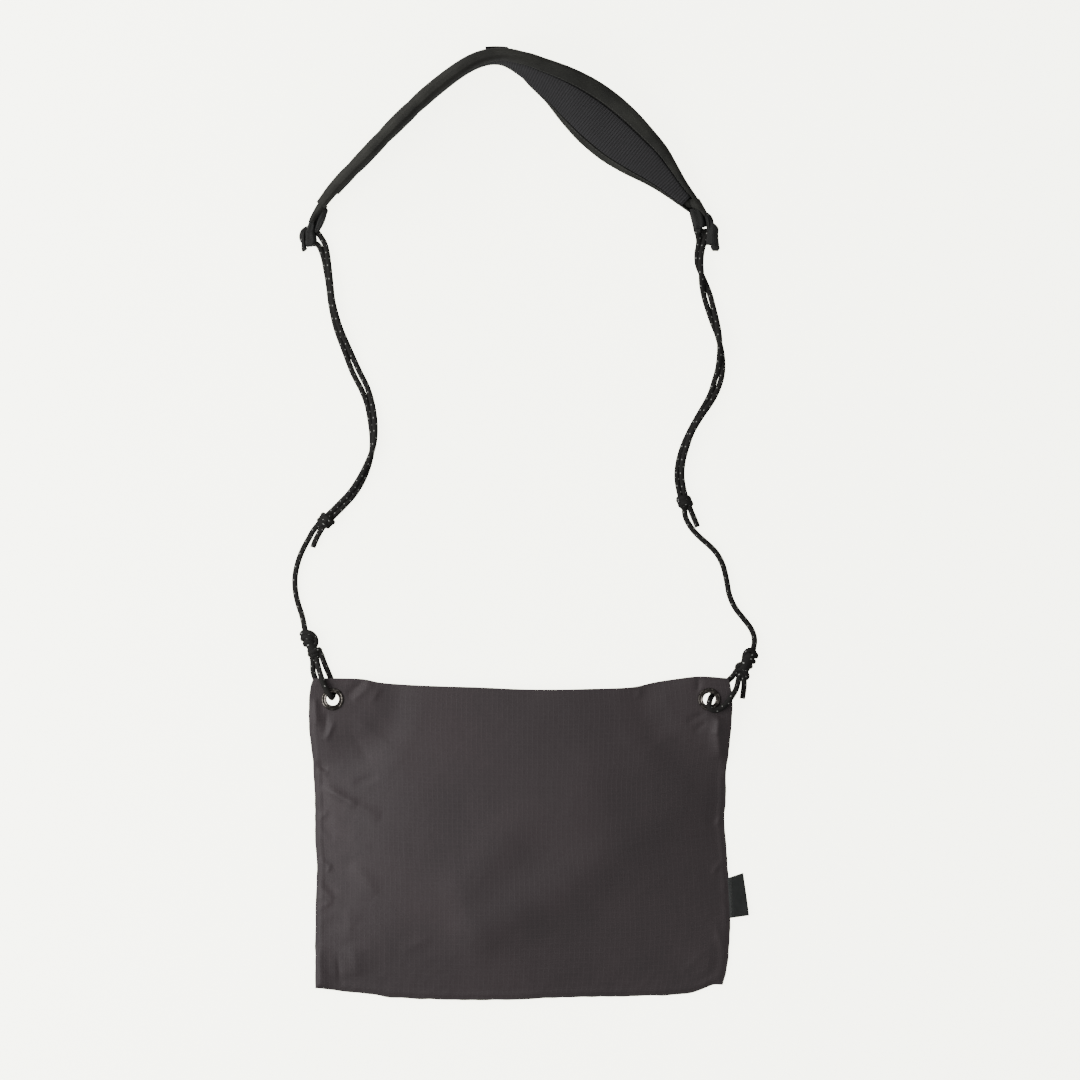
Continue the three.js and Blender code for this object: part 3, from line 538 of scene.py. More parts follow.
bights = {
    "left": [
        (-0.1569, 0.4752, 0.0026), (-0.1604, 0.4812, 0.0034), (-0.1642, 0.4856, 0.0036),
        (-0.1694, 0.4875, 0.0036), (-0.174, 0.4849, 0.0036), (-0.175, 0.4794, 0.0036),
        (-0.1716, 0.4753, 0.0036), (-0.1666, 0.4754, 0.0034), (-0.1626, 0.4746, 0.0026),
    ],
    "right": [
        (0.1477, 0.4806, 0.0024), (0.1509, 0.4854, 0.0034), (0.152, 0.4914, 0.0036),
        (0.15, 0.4968, 0.0036), (0.1455, 0.499, 0.0036), (0.141, 0.4968, 0.0036),
        (0.1394, 0.4916, 0.0036), (0.1402, 0.4862, 0.0034), (0.1418, 0.4808, 0.0024),
    ],
}
singles = {
    "left": [
        (-0.1612, 0.2518, 0.0032), (-0.1636, 0.249, 0.0024), (-0.1664, 0.2454, 0.00195),
        (-0.1694, 0.24, 0.00195), (-0.1726, 0.2344, 0.00195), (-0.1754, 0.2286, 0.00195),
        (-0.1776, 0.223, 0.00195), (-0.1793, 0.217, 0.00195), (-0.1806, 0.2096, 0.00195),
        (-0.1807, 0.2016, 0.00195), (-0.1797, 0.1936, 0.00195), (-0.1776, 0.1856, 0.00195),
        (-0.1752, 0.1784, 0.002), (-0.1736, 0.1716, 0.0029), (-0.1727, 0.167, 0.0042),
    ],
    "right": [
        (0.1307, 0.2634, 0.0032), (0.1309, 0.26, 0.0023), (0.132, 0.2556, 0.00195),
        (0.1345, 0.2508, 0.00195), (0.1382, 0.2456, 0.00195), (0.144, 0.2398, 0.00195),
        (0.1504, 0.2342, 0.00195), (0.1556, 0.2288, 0.00195), (0.1592, 0.2232, 0.00195),
        (0.1618, 0.2172, 0.00195), (0.1644, 0.2064, 0.00195), (0.1664, 0.1954, 0.00195),
        (0.1686, 0.1894, 0.00195), (0.1714, 0.184, 0.00195), (0.1756, 0.1784, 0.00195),
        (0.18, 0.173, 0.00195), (0.184, 0.1674, 0.00195), (0.1862, 0.162, 0.0021),
        (0.1867, 0.1574, 0.0029), (0.186, 0.1527, 0.0039),
    ],
}
freeEnds = {
    "left": [
        (-0.1582, 0.2488, 0.0032), (-0.16, 0.2462, 0.0023), (-0.1634, 0.24, 0.00195),
        (-0.1658, 0.2344, 0.00195), (-0.1665, 0.2324, 0.00195),
    ],
    "right": [
        (0.1347, 0.2647, 0.0032), (0.1362, 0.261, 0.0023), (0.138, 0.2568, 0.00195),
        (0.1403, 0.2512, 0.00195), (0.1412, 0.2488, 0.00195),
    ],
}
eyeletTurns = {
    "left": [
        (-0.1594, 0.1462, 0.0034), (-0.1578, 0.1414, 0.0024), (-0.155, 0.1346, 0.00195),
        (-0.1522, 0.128, 0.00195), (-0.1502, 0.1218, 0.00195), (-0.1496, 0.1172, 0.00195),
        (-0.1502, 0.1144, 0.0025), (-0.1508, 0.1127, 0.0058), (-0.1514, 0.1128, 0.0093),
        (-0.1527, 0.1146, 0.0116), (-0.1555, 0.1194, 0.0118), (-0.1578, 0.1242, 0.0111),
        (-0.1593, 0.1286, 0.0103), (-0.1607, 0.1328, 0.0079), (-0.162, 0.137, 0.0052),
        (-0.1631, 0.1412, 0.0038), (-0.1636, 0.1452, 0.0036),
    ],
    "right": [
        (0.1718, 0.1332, 0.0034), (0.1699, 0.1302, 0.0025), (0.1666, 0.1268, 0.00195),
        (0.1616, 0.1226, 0.00195), (0.157, 0.1186, 0.00195), (0.1534, 0.1148, 0.00195),
        (0.1519, 0.1126, 0.0032), (0.151, 0.1106, 0.0064), (0.1503, 0.1078, 0.0104),
        (0.1506, 0.1046, 0.0123), (0.1536, 0.1025, 0.0123), (0.1574, 0.103, 0.0119),
        (0.1612, 0.105, 0.0117), (0.1648, 0.1086, 0.0115), (0.1682, 0.1134, 0.011),
        (0.1714, 0.1186, 0.0082), (0.173, 0.1228, 0.005), (0.174, 0.1276, 0.0038),
    ],
}
spares = {
    "left": [
        (-0.1668, 0.1444, 0.0034), (-0.1664, 0.1404, 0.0023), (-0.1663, 0.1336, 0.00195),
        (-0.1645, 0.1276, 0.00195), (-0.162, 0.1218, 0.00195),
    ],
    "right": [
        (0.1782, 0.1264, 0.0038), (0.1784, 0.1226, 0.0026), (0.1779, 0.1176, 0.00195),
        (0.177, 0.1114, 0.00195),
    ],
}
# short stretches that lie inside the knots
intoKnots = {
    "left": [(-0.1716, 0.1635, 0.0046), (-0.1703, 0.16, 0.0044)],
    "right": [(0.1852, 0.149, 0.0043), (0.1835, 0.1455, 0.0043)],
}
outOfKnots = {
    "left": [(-0.1634, 0.1509, 0.0044), (-0.161, 0.1491, 0.004)],
    "right": [(0.1754, 0.1368, 0.0042), (0.1736, 0.135, 0.0039)],
}
turnInKnots = {
    "left": [(-0.1652, 0.1508, 0.0048), (-0.1672, 0.1506, 0.0046)],
    "right": [(0.1752, 0.1312, 0.0046), (0.1775, 0.1306, 0.0046)],
}


def pairRun(pair, side):
    rows = []
    for i, (x, y, turn, apart) in enumerate(pair):
        before, after = pair[max(0, i - 1)], pair[min(len(pair) - 1, i + 1)]
        wayX, wayY = after[0] - before[0], after[1] - before[1]
        size = math.hypot(wayX, wayY)
        wayX, wayY = wayX / size, wayY / size
        half = (cordSize["diameter"] + cordSize["between"] + apart) / 2
        angle = math.radians(turn)
        off = side * half * math.cos(angle)
        lift = half * (abs(math.sin(angle)) + side * math.sin(angle))
        last = cordSize["lastLift"] if i == len(pair) - 1 else 0  # up into the sliding knot
        z = cordSize["diameter"] / 2 + cordSize["floorGap"] + lift + last
        rows.append((x - wayY * off, y + wayX * off, z))
    return rows


def strapRoute(side):
    up, down = (1, -1) if side == "left" else (-1, 1)
    start = (singles[side] + intoKnots[side])[::-1]
    bight = bights[side] if side == "left" else bights[side][::-1]
    back = freeEnds[side]
    return start + pairRun(pairs[side], up)[::-1] + bight + pairRun(pairs[side], down) + back


def eyeletRoute(side):
    return outOfKnots[side] + eyeletTurns[side] + turnInKnots[side] + spares[side]


def cordPiece(name, route, solids):
    path = curveThrough(route, cordSize["step"])
    piece = makePiece(name, *tubeBody(path, cordSize["radius"], cordSize["sides"]), braid)
    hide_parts(*solids)
    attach(piece, "root")
    return piece, path


for side in ("left", "right"):
    cordPiece(
        side + "Strap", strapRoute(side),
        [f"cord_{side}_double", f"cord_{side}_single", f"cord_{side}_end"],
    )
    cordPiece(
        side + "EyeletTurn", eyeletRoute(side),
        [f"cord_{side}_eyelet", f"cord_{side}_spare"],
    )


# Knots: cord wound round the runs that pass through, strand by strand

knots = {
    "leftEyeletKnot": {
        "node": "knot_left_eyelet", "coreRadius": 0.0041,
        "core": [
            (-0.1718, 0.1636, 0.0042), (-0.1702, 0.1603, 0.0042), (-0.1682, 0.1549, 0.0042),
            (-0.165, 0.1487, 0.0042)],
        "strands": [
            [(-0.1753, 0.1627, 0.0022), (-0.1742, 0.1641, 0.0046), (-0.1712, 0.1646, 0.0062),
             (-0.168, 0.1638, 0.0064), (-0.1654, 0.1617, 0.0056), (-0.164, 0.1587, 0.0049),
             (-0.1641, 0.1557, 0.0045), (-0.1654, 0.1529, 0.0045), (-0.1677, 0.1509, 0.0048),
             (-0.1693, 0.149, 0.0032)],
            [(-0.1746, 0.159, 0.0022), (-0.1736, 0.1606, 0.005), (-0.1704, 0.1611, 0.0069),
             (-0.1672, 0.1601, 0.0062), (-0.1661, 0.1579, 0.004)],
            [(-0.1723, 0.1545, 0.0022), (-0.1721, 0.1563, 0.005), (-0.1699, 0.1573, 0.0067),
             (-0.1672, 0.1565, 0.006), (-0.1661, 0.1542, 0.004)],
            [(-0.1686, 0.1462, 0.0024), (-0.1679, 0.1482, 0.0048), (-0.1656, 0.1496, 0.0063),
             (-0.163, 0.1501, 0.0055), (-0.1613, 0.1506, 0.0042), (-0.1602, 0.1518, 0.0036)],
            [(-0.1666, 0.1454, 0.0024), (-0.1656, 0.1469, 0.0049), (-0.1632, 0.1477, 0.0048),
             (-0.161, 0.1478, 0.0028)],
        ],
    },
    "rightEyeletKnot": {
        "node": "knot_right_eyelet", "coreRadius": 0.0048,
        "core": [
            (0.1838, 0.1476, 0.0049), (0.1823, 0.1447, 0.0049), (0.1801, 0.14, 0.0048),
            (0.1779, 0.1345, 0.0047)],
        "strands": [
            [(0.1869, 0.1474, 0.0042), (0.1853, 0.1494, 0.0058), (0.1824, 0.1502, 0.0066),
             (0.1799, 0.1486, 0.0062), (0.1787, 0.1456, 0.0054), (0.1789, 0.1424, 0.0046),
             (0.18, 0.1395, 0.004)],
            [(0.1878, 0.145, 0.0028), (0.1873, 0.1467, 0.0048), (0.1853, 0.147, 0.0066),
             (0.1829, 0.1453, 0.0074), (0.1811, 0.1424, 0.0072), (0.1797, 0.1392, 0.006),
             (0.1779, 0.1368, 0.0046)],
            [(0.1861, 0.1411, 0.0026), (0.1847, 0.1419, 0.0052), (0.1824, 0.1421, 0.0064),
             (0.1798, 0.1432, 0.0056), (0.1784, 0.1448, 0.0036)],
            [(0.1835, 0.137, 0.0024), (0.1826, 0.1385, 0.005), (0.1805, 0.1395, 0.0062),
             (0.1781, 0.1405, 0.0046)],
            [(0.173, 0.1358, 0.0032), (0.1733, 0.1376, 0.0046), (0.1757, 0.1389, 0.006),
             (0.1782, 0.1373, 0.0054), (0.1792, 0.1346, 0.004)],
            [(0.1742, 0.1338, 0.003), (0.1755, 0.1355, 0.0052), (0.1779, 0.1345, 0.0058),
             (0.1799, 0.1317, 0.005), (0.1807, 0.1293, 0.0038), (0.1797, 0.1277, 0.0028)],
        ],
    },
    "leftSlideKnot": {
        "node": "knot_left_slide", "coreRadius": 0.004,
        "core": [
            (-0.1525, 0.2571, 0.0036), (-0.1555, 0.2541, 0.0038), (-0.1587, 0.251, 0.0036)],
        "strands": [
            [(-0.1582, 0.2589, 0.0022), (-0.1577, 0.2574, 0.0048), (-0.1547, 0.2558, 0.0066),
             (-0.1518, 0.2534, 0.0052), (-0.1504, 0.2525, 0.0024)],
            [(-0.1613, 0.2545, 0.0022), (-0.1605, 0.2536, 0.0048), (-0.1578, 0.2522, 0.0065),
             (-0.155, 0.2501, 0.005), (-0.1541, 0.2494, 0.0024)],
            [(-0.1594, 0.2567, 0.0022), (-0.159, 0.2556, 0.0046), (-0.1563, 0.254, 0.006),
             (-0.1534, 0.2518, 0.0048), (-0.1524, 0.2511, 0.0024)],
            [(-0.1515, 0.2573, 0.0034), (-0.1531, 0.2563, 0.0054), (-0.1557, 0.2542, 0.0066),
             (-0.1587, 0.2515, 0.005), (-0.1598, 0.2501, 0.0034)],
        ],
    },
    "rightSlideKnot": {
        "node": "knot_right_slide", "coreRadius": 0.0042,
        "core": [
            (0.129, 0.2722, 0.0035), (0.1305, 0.2692, 0.0037), (0.1322, 0.2659, 0.0035)],
        "strands": [
            [(0.1258, 0.2697, 0.0022), (0.1269, 0.2712, 0.0048), (0.1304, 0.2722, 0.0066),
             (0.1333, 0.272, 0.005), (0.1344, 0.2709, 0.0024)],
            [(0.1274, 0.2659, 0.0022), (0.1283, 0.2672, 0.0048), (0.1317, 0.2683, 0.0065),
             (0.1349, 0.2683, 0.005), (0.1359, 0.2669, 0.0024)],
            [(0.1267, 0.268, 0.0022), (0.1277, 0.2692, 0.0046), (0.1311, 0.2703, 0.006),
             (0.134, 0.2701, 0.0048), (0.1351, 0.269, 0.0024)],
            [(0.1259, 0.2723, 0.0032), (0.1267, 0.2698, 0.0046), (0.128, 0.2664, 0.0048),
             (0.1301, 0.2645, 0.0044), (0.1325, 0.2653, 0.0036)],
        ],
    },
}


# Each run start shifts the braid's flecks along the strand
knotSize = {"step": 0.0007, "coreRun": 0.0016, "firstRun": 0.0021, "nextRun": 0.0017, "floor": 0.00006}


def knotPiece(name, spec):
    core = curveThrough(spec["core"], cordSize["step"])
    bodies = [tubeBody(core, spec["coreRadius"], runStart=knotSize["coreRun"])]
    for i, strand in enumerate(spec["strands"]):
        start = knotSize["firstRun"] + knotSize["nextRun"] * i
        way = curveThrough(strand, knotSize["step"])
        bodies.append(tubeBody(way, cordSize["radius"], runStart=start))
    points, faces, corners = joined(bodies)
    points[:, 2] = np.maximum(points[:, 2], knotSize["floor"])
    piece = makePiece(name, points, faces, corners, braid)
    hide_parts(spec["node"])
    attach(piece, "root")
    return piece


knotPieces = {name: knotPiece(name, spec) for name, spec in knots.items()}

print("cords and knots made")


# Sack: its outline, its puff and the creases of the front

sack = {
    "width": 0.332, "height": 0.248, "top": 0.128, "puff": 0.017, "mouth": 0.0075,
    "seam": 0.007, "wall": 0.001, "gap": 0.0003, "cloth": 0.0006, "lift": 0.00555,
    "crowd": 0.4, "flange": 0.0176, "reach": 3.2, "bore": 0.0122, "inset": 0.0156, "drop": 0.0168,
    "seamGap": 0.0001, "bulge": 2.6, "slackShare": 0.033,
    "backGrid": (130, 100), "frontGrid": (250, 190), "boreSides": 48, "cutDepth": 0.08,
}
# Shares of the sack: where along the edge, and how far it stands out there
leftEdge = [(0, -0.004), (0.14, -0.004), (0.27, -0.005), (0.39, -0.008), (0.48, -0.004),
            (0.61, -0.003), (0.72, 0.001), (0.79, 0.006), (0.85, 0.0105), (0.92, 0.0105),
            (0.975, 0.007), (1, 0)]
rightEdge = [(0, -0.014), (0.05, -0.004), (0.13, 0.002), (0.22, 0.005), (0.35, 0),
             (0.43, -0.004), (0.55, -0.01), (0.6, -0.006), (0.69, -0.006), (0.76, 0.001),
             (0.86, 0.007), (0.94, 0.009), (1, 0)]
topEdge = [(0, 0), (0.06, 0), (0.12, -0.003), (0.16, -0.014), (0.22, -0.021), (0.3, -0.026),
           (0.4, -0.03), (0.5, -0.036), (0.58, -0.037), (0.66, -0.035), (0.77, -0.029),
           (0.82, -0.014), (0.87, -0.003), (0.93, 0.006), (1, 0)]
bottomEdge = [(0, 0), (0.03, 0.004), (0.07, 0.012), (0.13, 0.019), (0.19, 0.031),
              (0.37, 0.039), (0.48, 0.037), (0.65, 0.029), (0.8, 0.026), (0.92, 0.016),
              (0.975, -0.009), (1, -0.011)]

# Broad folds: across and up as shares of the sack, width and rise as in the solids
folds = [
    (0.13, 0.94, 0.17, 0.99, 0.02, 0.03), (0.05, 0.87, 0.024, 0.8, 0.022, 0.05),
    (0.01, 0.655, 0.125, 0.587, 0.034, 0.05), (0.02, 0.57, 0.08, 0.53, 0.026, 0.03),
    (0.956, 0.9, 0.972, 0.75, 0.024, 0.09), (0.925, 1, 0.925, 0.95, 0.018, 0.02),
    (0.09, 0.88, 0.24, 0.7, 0.07, 0.05), (0.91, 0.88, 0.77, 0.7, 0.07, 0.03),
    (0.06, 0.08, 0.22, 0.26, 0.07, 0.05), (0.95, 0.08, 0.82, 0.28, 0.07, 0.05),
    (0.4, 0.226, 0.907, 0.59, 0.11, 0.17), (0.36, 0.36, 0.56, 0.66, 0.1, 0.1),
    (0.825, 0.93, 0.8, 0.78, 0.1, 0.07), (0.175, 0.93, 0.2, 0.78, 0.1, 0.07),
]

# Sharp creases: from, to, width and rise in metres, below 0 for a valley
creases = [
    (-0.14, 0.1128, -0.124, 0.1272, 0.0036, -0.0011),
    (-0.1352, 0.1096, -0.1184, 0.124, 0.0034, 0.001),
    (-0.12, 0.1072, -0.112, 0.1216, 0.0024, 0.0005),
    (-0.1644, 0.1128, -0.1632, 0.0896, 0.0032, 0.0015),
    (-0.1552, 0.1008, -0.1568, 0.0824, 0.0028, -0.001),
    (-0.1492, 0.0936, -0.156, 0.0776, 0.0022, 0.001),
    (-0.164, 0.0608, -0.1544, 0.0536, 0.0021, -0.0012),
    (-0.1632, 0.0552, -0.1536, 0.0512, 0.0019, 0.0008),
    (-0.16, 0.0416, -0.1304, 0.0264, 0.0034, 0.002),
    (-0.14, 0.0304, -0.112, 0.0168, 0.0042, 0.0013),
    (-0.1344, 0.044, -0.1136, 0.0496, 0.0028, -0.0009),
    (-0.1616, 0.016, -0.1536, 0.0216, 0.0019, 0.0009),
    (-0.1624, 0.0096, -0.1528, -0.0016, 0.0024, 0.0006),
    (-0.1616, -0.0168, -0.152, -0.0232, 0.0019, 0.001),
    (-0.1512, -0.0208, -0.1552, -0.0272, 0.0019, 0.0008),
    (-0.1624, -0.0384, -0.1496, -0.0496, 0.0021, 0.001),
    (-0.1616, -0.0448, -0.1528, -0.0528, 0.0019, 0.0007),
    (-0.1592, -0.0336, -0.1464, -0.044, 0.0022, -0.0007),
    (-0.1616, -0.0552, -0.1496, -0.0512, 0.0019, 0.0007),
    (-0.1352, -0.0192, -0.1144, -0.044, 0.0064, 0.0011),
    (-0.1384, -0.0536, -0.1368, -0.0816, 0.0064, 0.0008),
    (-0.1632, -0.0848, -0.16, -0.1232, 0.0084, 0.0025),
    (-0.1472, -0.092, -0.144, -0.12, 0.0027, -0.0008),
    (-0.1352, -0.0848, -0.1304, -0.1104, 0.0072, 0.0009),
    (0.142, 0.1296, 0.1416, 0.1152, 0.0024, -0.001),
    (0.1488, 0.1008, 0.132, 0.0928, 0.0028, -0.0009),
    (0.1488, 0.0936, 0.1376, 0.0848, 0.0028, -0.0008),
    (0.158, 0.0976, 0.1568, 0.0816, 0.0037, 0.0021),
    (0.1568, 0.0888, 0.1592, 0.0632, 0.0037, 0.0023),
    (0.164, 0.06, 0.1624, 0.0472, 0.0021, 0.0008),
    (0.1608, 0.0184, 0.1552, 0.0088, 0.0022, 0.0008),
    (0.16, -0.0192, 0.152, -0.0288, 0.0022, 0.0007),
    (0.096, 0.1208, 0.0928, 0.112, 0.0024, 0.0006),
    (-0.136, 0.0984, -0.0984, 0.068, 0.0045, 0.0004),
    (-0.1392, 0.0904, -0.1192, 0.0584, 0.004, -0.0004),
    (0.1312, 0.0944, 0.096, 0.064, 0.005, 0.0003),
    (-0.1488, 0.0064, -0.1184, -0.008, 0.004, 0.0004),
    (-0.152, -0.0616, -0.128, -0.072, 0.004, -0.0004),
    (0.148, -0.0896, 0.128, -0.108, 0.004, 0.00035),
    (0.156, -0.0696, 0.1608, -0.0896, 0.0032, 0.0008),
    (-0.0968, -0.088, -0.0712, -0.08, 0.0048, 0.0005),
]


def between(table, values):
    at = np.array([row[0] for row in table], float)
    out = np.array([row[1] for row in table], float)
    i = np.clip(np.searchsorted(at, values, side="left") - 1, 0, len(at) - 2)
    h, n = np.maximum(i - 1, 0), np.minimum(i + 2, len(at) - 1)
    span = at[i + 1] - at[i]
    t = np.clip((values - at[i]) / span, 0, 1)
    slopeA = (out[i + 1] - out[h]) / (at[i + 1] - at[h]) * span
    slopeB = (out[n] - out[i]) / (at[n] - at[i]) * span
    return (
        (2 * t**3 - 3 * t**2 + 1) * out[i] + (t**3 - 2 * t**2 + t) * slopeA
        + (3 * t**2 - 2 * t**3) * out[i + 1] + (t**3 - t**2) * slopeB
    )


def sackPlace(across, up):
    left = -sack["width"] / 2 - between(leftEdge, up) * sack["width"]
    right = sack["width"] / 2 + between(rightEdge, up) * sack["width"]
    bottom = sack["top"] - sack["height"] - between(bottomEdge, across) * sack["height"]
    top = sack["top"] + between(topEdge, across) * sack["height"]
    return left + (right - left) * across, bottom + (top - bottom) * up


eyeletPlaces = [
    (side * (sack["width"] / 2 - sack["inset"]), sack["top"] - sack["drop"]) for side in (-1, 1)
]


def eyeletDistance(x, y):
    return np.minimum(*[np.hypot(x - ex, y - ey) for ex, ey in eyeletPlaces])


def cornerLift(x, y):
    flat, reach = sack["flange"], sack["flange"] * sack["reach"]
    return sack["lift"] * (1 - smoothStep((eyeletDistance(x, y) - flat) / (reach - flat)))


# How sharp a ridge or fold is across, and how it fades along
ridgeShape = {"across": 1.6, "along": 2.4}
foldShape = {"across": 3, "along": 0.85}


def ridges(x, y):
    total = np.zeros_like(x)
    for x0, y0, x1, y1, width, rise in creases:
        alongX, alongY = x1 - x0, y1 - y0
        t = ((x - x0) * alongX + (y - y0) * alongY) / (alongX**2 + alongY**2)
        held = np.clip(t, 0, 1)
        off = np.hypot(x - x0 - held * alongX, y - y0 - held * alongY) / width
        fade = 1 - np.abs(2 * held - 1) ** ridgeShape["along"]
        total += rise * np.exp(-(off ** ridgeShape["across"])) * fade
    return total


def foldRise(across, up):
    total = np.zeros_like(across)
    for x0, y0, x1, y1, width, rise in folds:
        alongX, alongY = (x1 - x0) * sack["width"], (y1 - y0) * sack["height"]
        fromX, fromY = (across - x0) * sack["width"], (up - y0) * sack["height"]
        t = np.clip((fromX * alongX + fromY * alongY) / (alongX**2 + alongY**2), 0, 1)
        off = np.hypot(fromX - t * alongX, fromY - t * alongY) / (width * sack["width"])
        fade = 1 - foldShape["along"] * t * t
        total += rise * sack["puff"] * np.exp(-foldShape["across"] * off * off) * fade
    return total


def noiseField(x, y, scale, seed, sharp=False):
    values = []
    for px, py in zip(x.ravel(), y.ravel()):
        value = noise.noise(Vector((px * scale, py * scale, seed)))
        values.append(1 - 2 * abs(value) if sharp else value)
    return np.array(values).reshape(x.shape)


def puff(across, up, x, y):
    seamX, seamY = sack["seam"] / sack["width"], sack["seam"] / sack["height"]
    u = np.clip((across - seamX) / (1 - 2 * seamX), 0, 1)
    v = np.clip((up - seamY) / (1 - seamY), 0, 1)
    sides = 1 - np.abs(2 * u - 1) ** sack["bulge"]
    rise = 1 - (1 - v) ** sack["bulge"]
    mouth = 1 - (1 - sack["mouth"] / sack["puff"]) * smoothStep((up - 0.5) / 0.5)
    near, flat = eyeletDistance(x, y), sack["flange"]
    free = smoothStep((near - flat) / (flat * sack["reach"]))
    slack = sack["slackShare"]
    seam = smoothStep(u / slack) * smoothStep((1 - u) / slack) * smoothStep(v / slack)
    level = smoothStep((near - flat) / flat)
    return free * sack["puff"] * sides * rise * mouth + seam * level * foldRise(across, up), level


def spread(count):
    # more points towards the seams, where the creases are
    t = np.linspace(0, 1, count)
    return t - sack["crowd"] * np.sin(2 * math.pi * t) / (2 * math.pi)


def clothGrid(columns, rows):
    across, up = np.meshgrid(spread(columns), spread(rows))
    x, y = sackPlace(across, up)
    edge = np.minimum(np.minimum(across, 1 - across) * sack["width"], up * sack["height"])
    return across, up, x, y, edge


# Unevenness of the front cloth: how high, how fine, and how far in from the seams it reaches
relief = {
    "pucker": 0.0005, "puckerScale": 110, "puckerReach": 0.004,
    "broad": 0.00045, "broadScale": 24, "broadReach": 0.03,
    "fine": 0.00016, "fineScale": 75, "fineShare": 0.35, "fineReach": 0.03,
    "hem": 0.00035, "hemScale": 120, "hemStretch": 0.35, "hemReach": 0.012,
    "sewn": 0.006, "calm": 0.004, "flatEdge": 0.0015, "ringStart": 0.0095, "ringReach": 0.004,
    "dentShare": 0.6,
}


def wobble(x, y, edge):
    # small puckers along the sewn sides, where the seam gathers the cloth
    pull = np.exp(-edge / relief["puckerReach"]) * relief["pucker"]
    scale = relief["puckerScale"]
    return x + pull * noiseField(x, y, scale, 3.1), y + pull * noiseField(x, y, scale, 8.4)


def unevenness(x, y, edge):
    broad = relief["broad"] * noiseField(x, y, relief["broadScale"], 1.7)
    total = broad * smoothStep(edge / relief["broadReach"])
    fine = relief["fine"] * noiseField(x, y, relief["fineScale"], 5.2, True)
    total += fine * (relief["fineShare"] + np.exp(-edge / relief["fineReach"]))
    hem = relief["hem"] * noiseField(x * relief["hemStretch"], y, relief["hemScale"], 9.6)
    return total + hem * np.exp(-edge / relief["hemReach"])


def sheetBody(upper, lower, across, up):
    rows, columns = across.shape
    points = np.vstack([lower.reshape(-1, 3), upper.reshape(-1, 3)])
    place = np.stack([across * sack["width"], up * sack["height"]], axis=-1).reshape(-1, 2)
    place = np.vstack([place, place])
    start = rows * columns
    faces = []
    for i in range(rows - 1):
        for j in range(columns - 1):
            a = i * columns + j
            faces.append((a, a + columns, a + columns + 1, a + 1))
            faces.append((a + start, a + start + 1, a + start + columns + 1, a + start + columns))
    rim = list(range(columns)) + [i * columns + columns - 1 for i in range(1, rows)]
    rim += [(rows - 1) * columns + j for j in range(columns - 2, -1, -1)]
    rim += [i * columns for i in range(rows - 2, 0, -1)]
    for a, b in zip(rim, rim[1:] + rim[:1]):
        faces.append((a, b, b + start, a + start))
    corners = [[tuple(place[i]) for i in face] for face in faces]
    return points, faces, corners


def cutEyeletHoles(piece):
    for x, y in eyeletPlaces:
        bpy.ops.mesh.primitive_cylinder_add(
            vertices=sack["boreSides"], radius=sack["bore"] / 2, depth=sack["cutDepth"],
            location=(x, y, 0),
        )
        cutter = bpy.context.object
        cut = piece.modifiers.new("hole", "BOOLEAN")
        cut.object = cutter
        cut.solver = "EXACT"
        result = applied(piece)
        piece.modifiers.clear()
        piece.data = result
        bpy.data.objects.remove(cutter)
    piece.data.name = piece.name


def finishCloth(piece, node):
    cutEyeletHoles(piece)
    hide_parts(node)
    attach(piece, "root")


def makeBack():
    across, up, x, y, edge = clothGrid(*sack["backGrid"])
    x, y = wobble(x, y, edge)
    z = cornerLift(x, y)
    lower = np.stack([x, y, z], axis=-1)
    upper = np.stack([x, y, z + sack["cloth"]], axis=-1)
    piece = makePiece("bagBack", *sheetBody(upper, lower, across, up), ripstop)
    finishCloth(piece, "bag_back_panel")


def makeFront():
    across, up, x, y, edge = clothGrid(*sack["frontGrid"])
    rise, level = puff(across, up, x, y)
    sewn = smoothStep(edge / relief["sewn"])
    x, y = wobble(x, y, edge)
    ring = smoothStep((eyeletDistance(x, y) - relief["ringStart"]) / relief["ringReach"])
    low = cornerLift(x, y) + 2 * sack["cloth"] + sack["seamGap"]
    high = cornerLift(x, y) + 2 * sack["wall"] + sack["gap"] + rise
    z = low + (high - low) * np.maximum(sewn, 1 - level)
    dents = np.maximum(unevenness(x, y, edge), -relief["dentShare"] * rise)
    z = z + dents * level * smoothStep(edge / relief["calm"])
    z = z + ridges(x, y) * ring * smoothStep(edge / relief["flatEdge"])
    z = np.maximum(z, low)
    upper = np.stack([x, y, z], axis=-1)
    lower = upper - np.array([0, 0, sack["cloth"]])
    piece = makePiece("bagFront", *sheetBody(upper, lower, across, up), ripstop)
    finishCloth(piece, "bag_front_panel")


makeBack()
makeFront()
print("sack made")


# Eyelets: a turned profile, under the cloth, round the rim, over two ridges and down the bore

eyelet = {"bore": 0.005, "wall": 0.0008, "flange": 0.0088, "thick": 0.0009, "segments": 72}


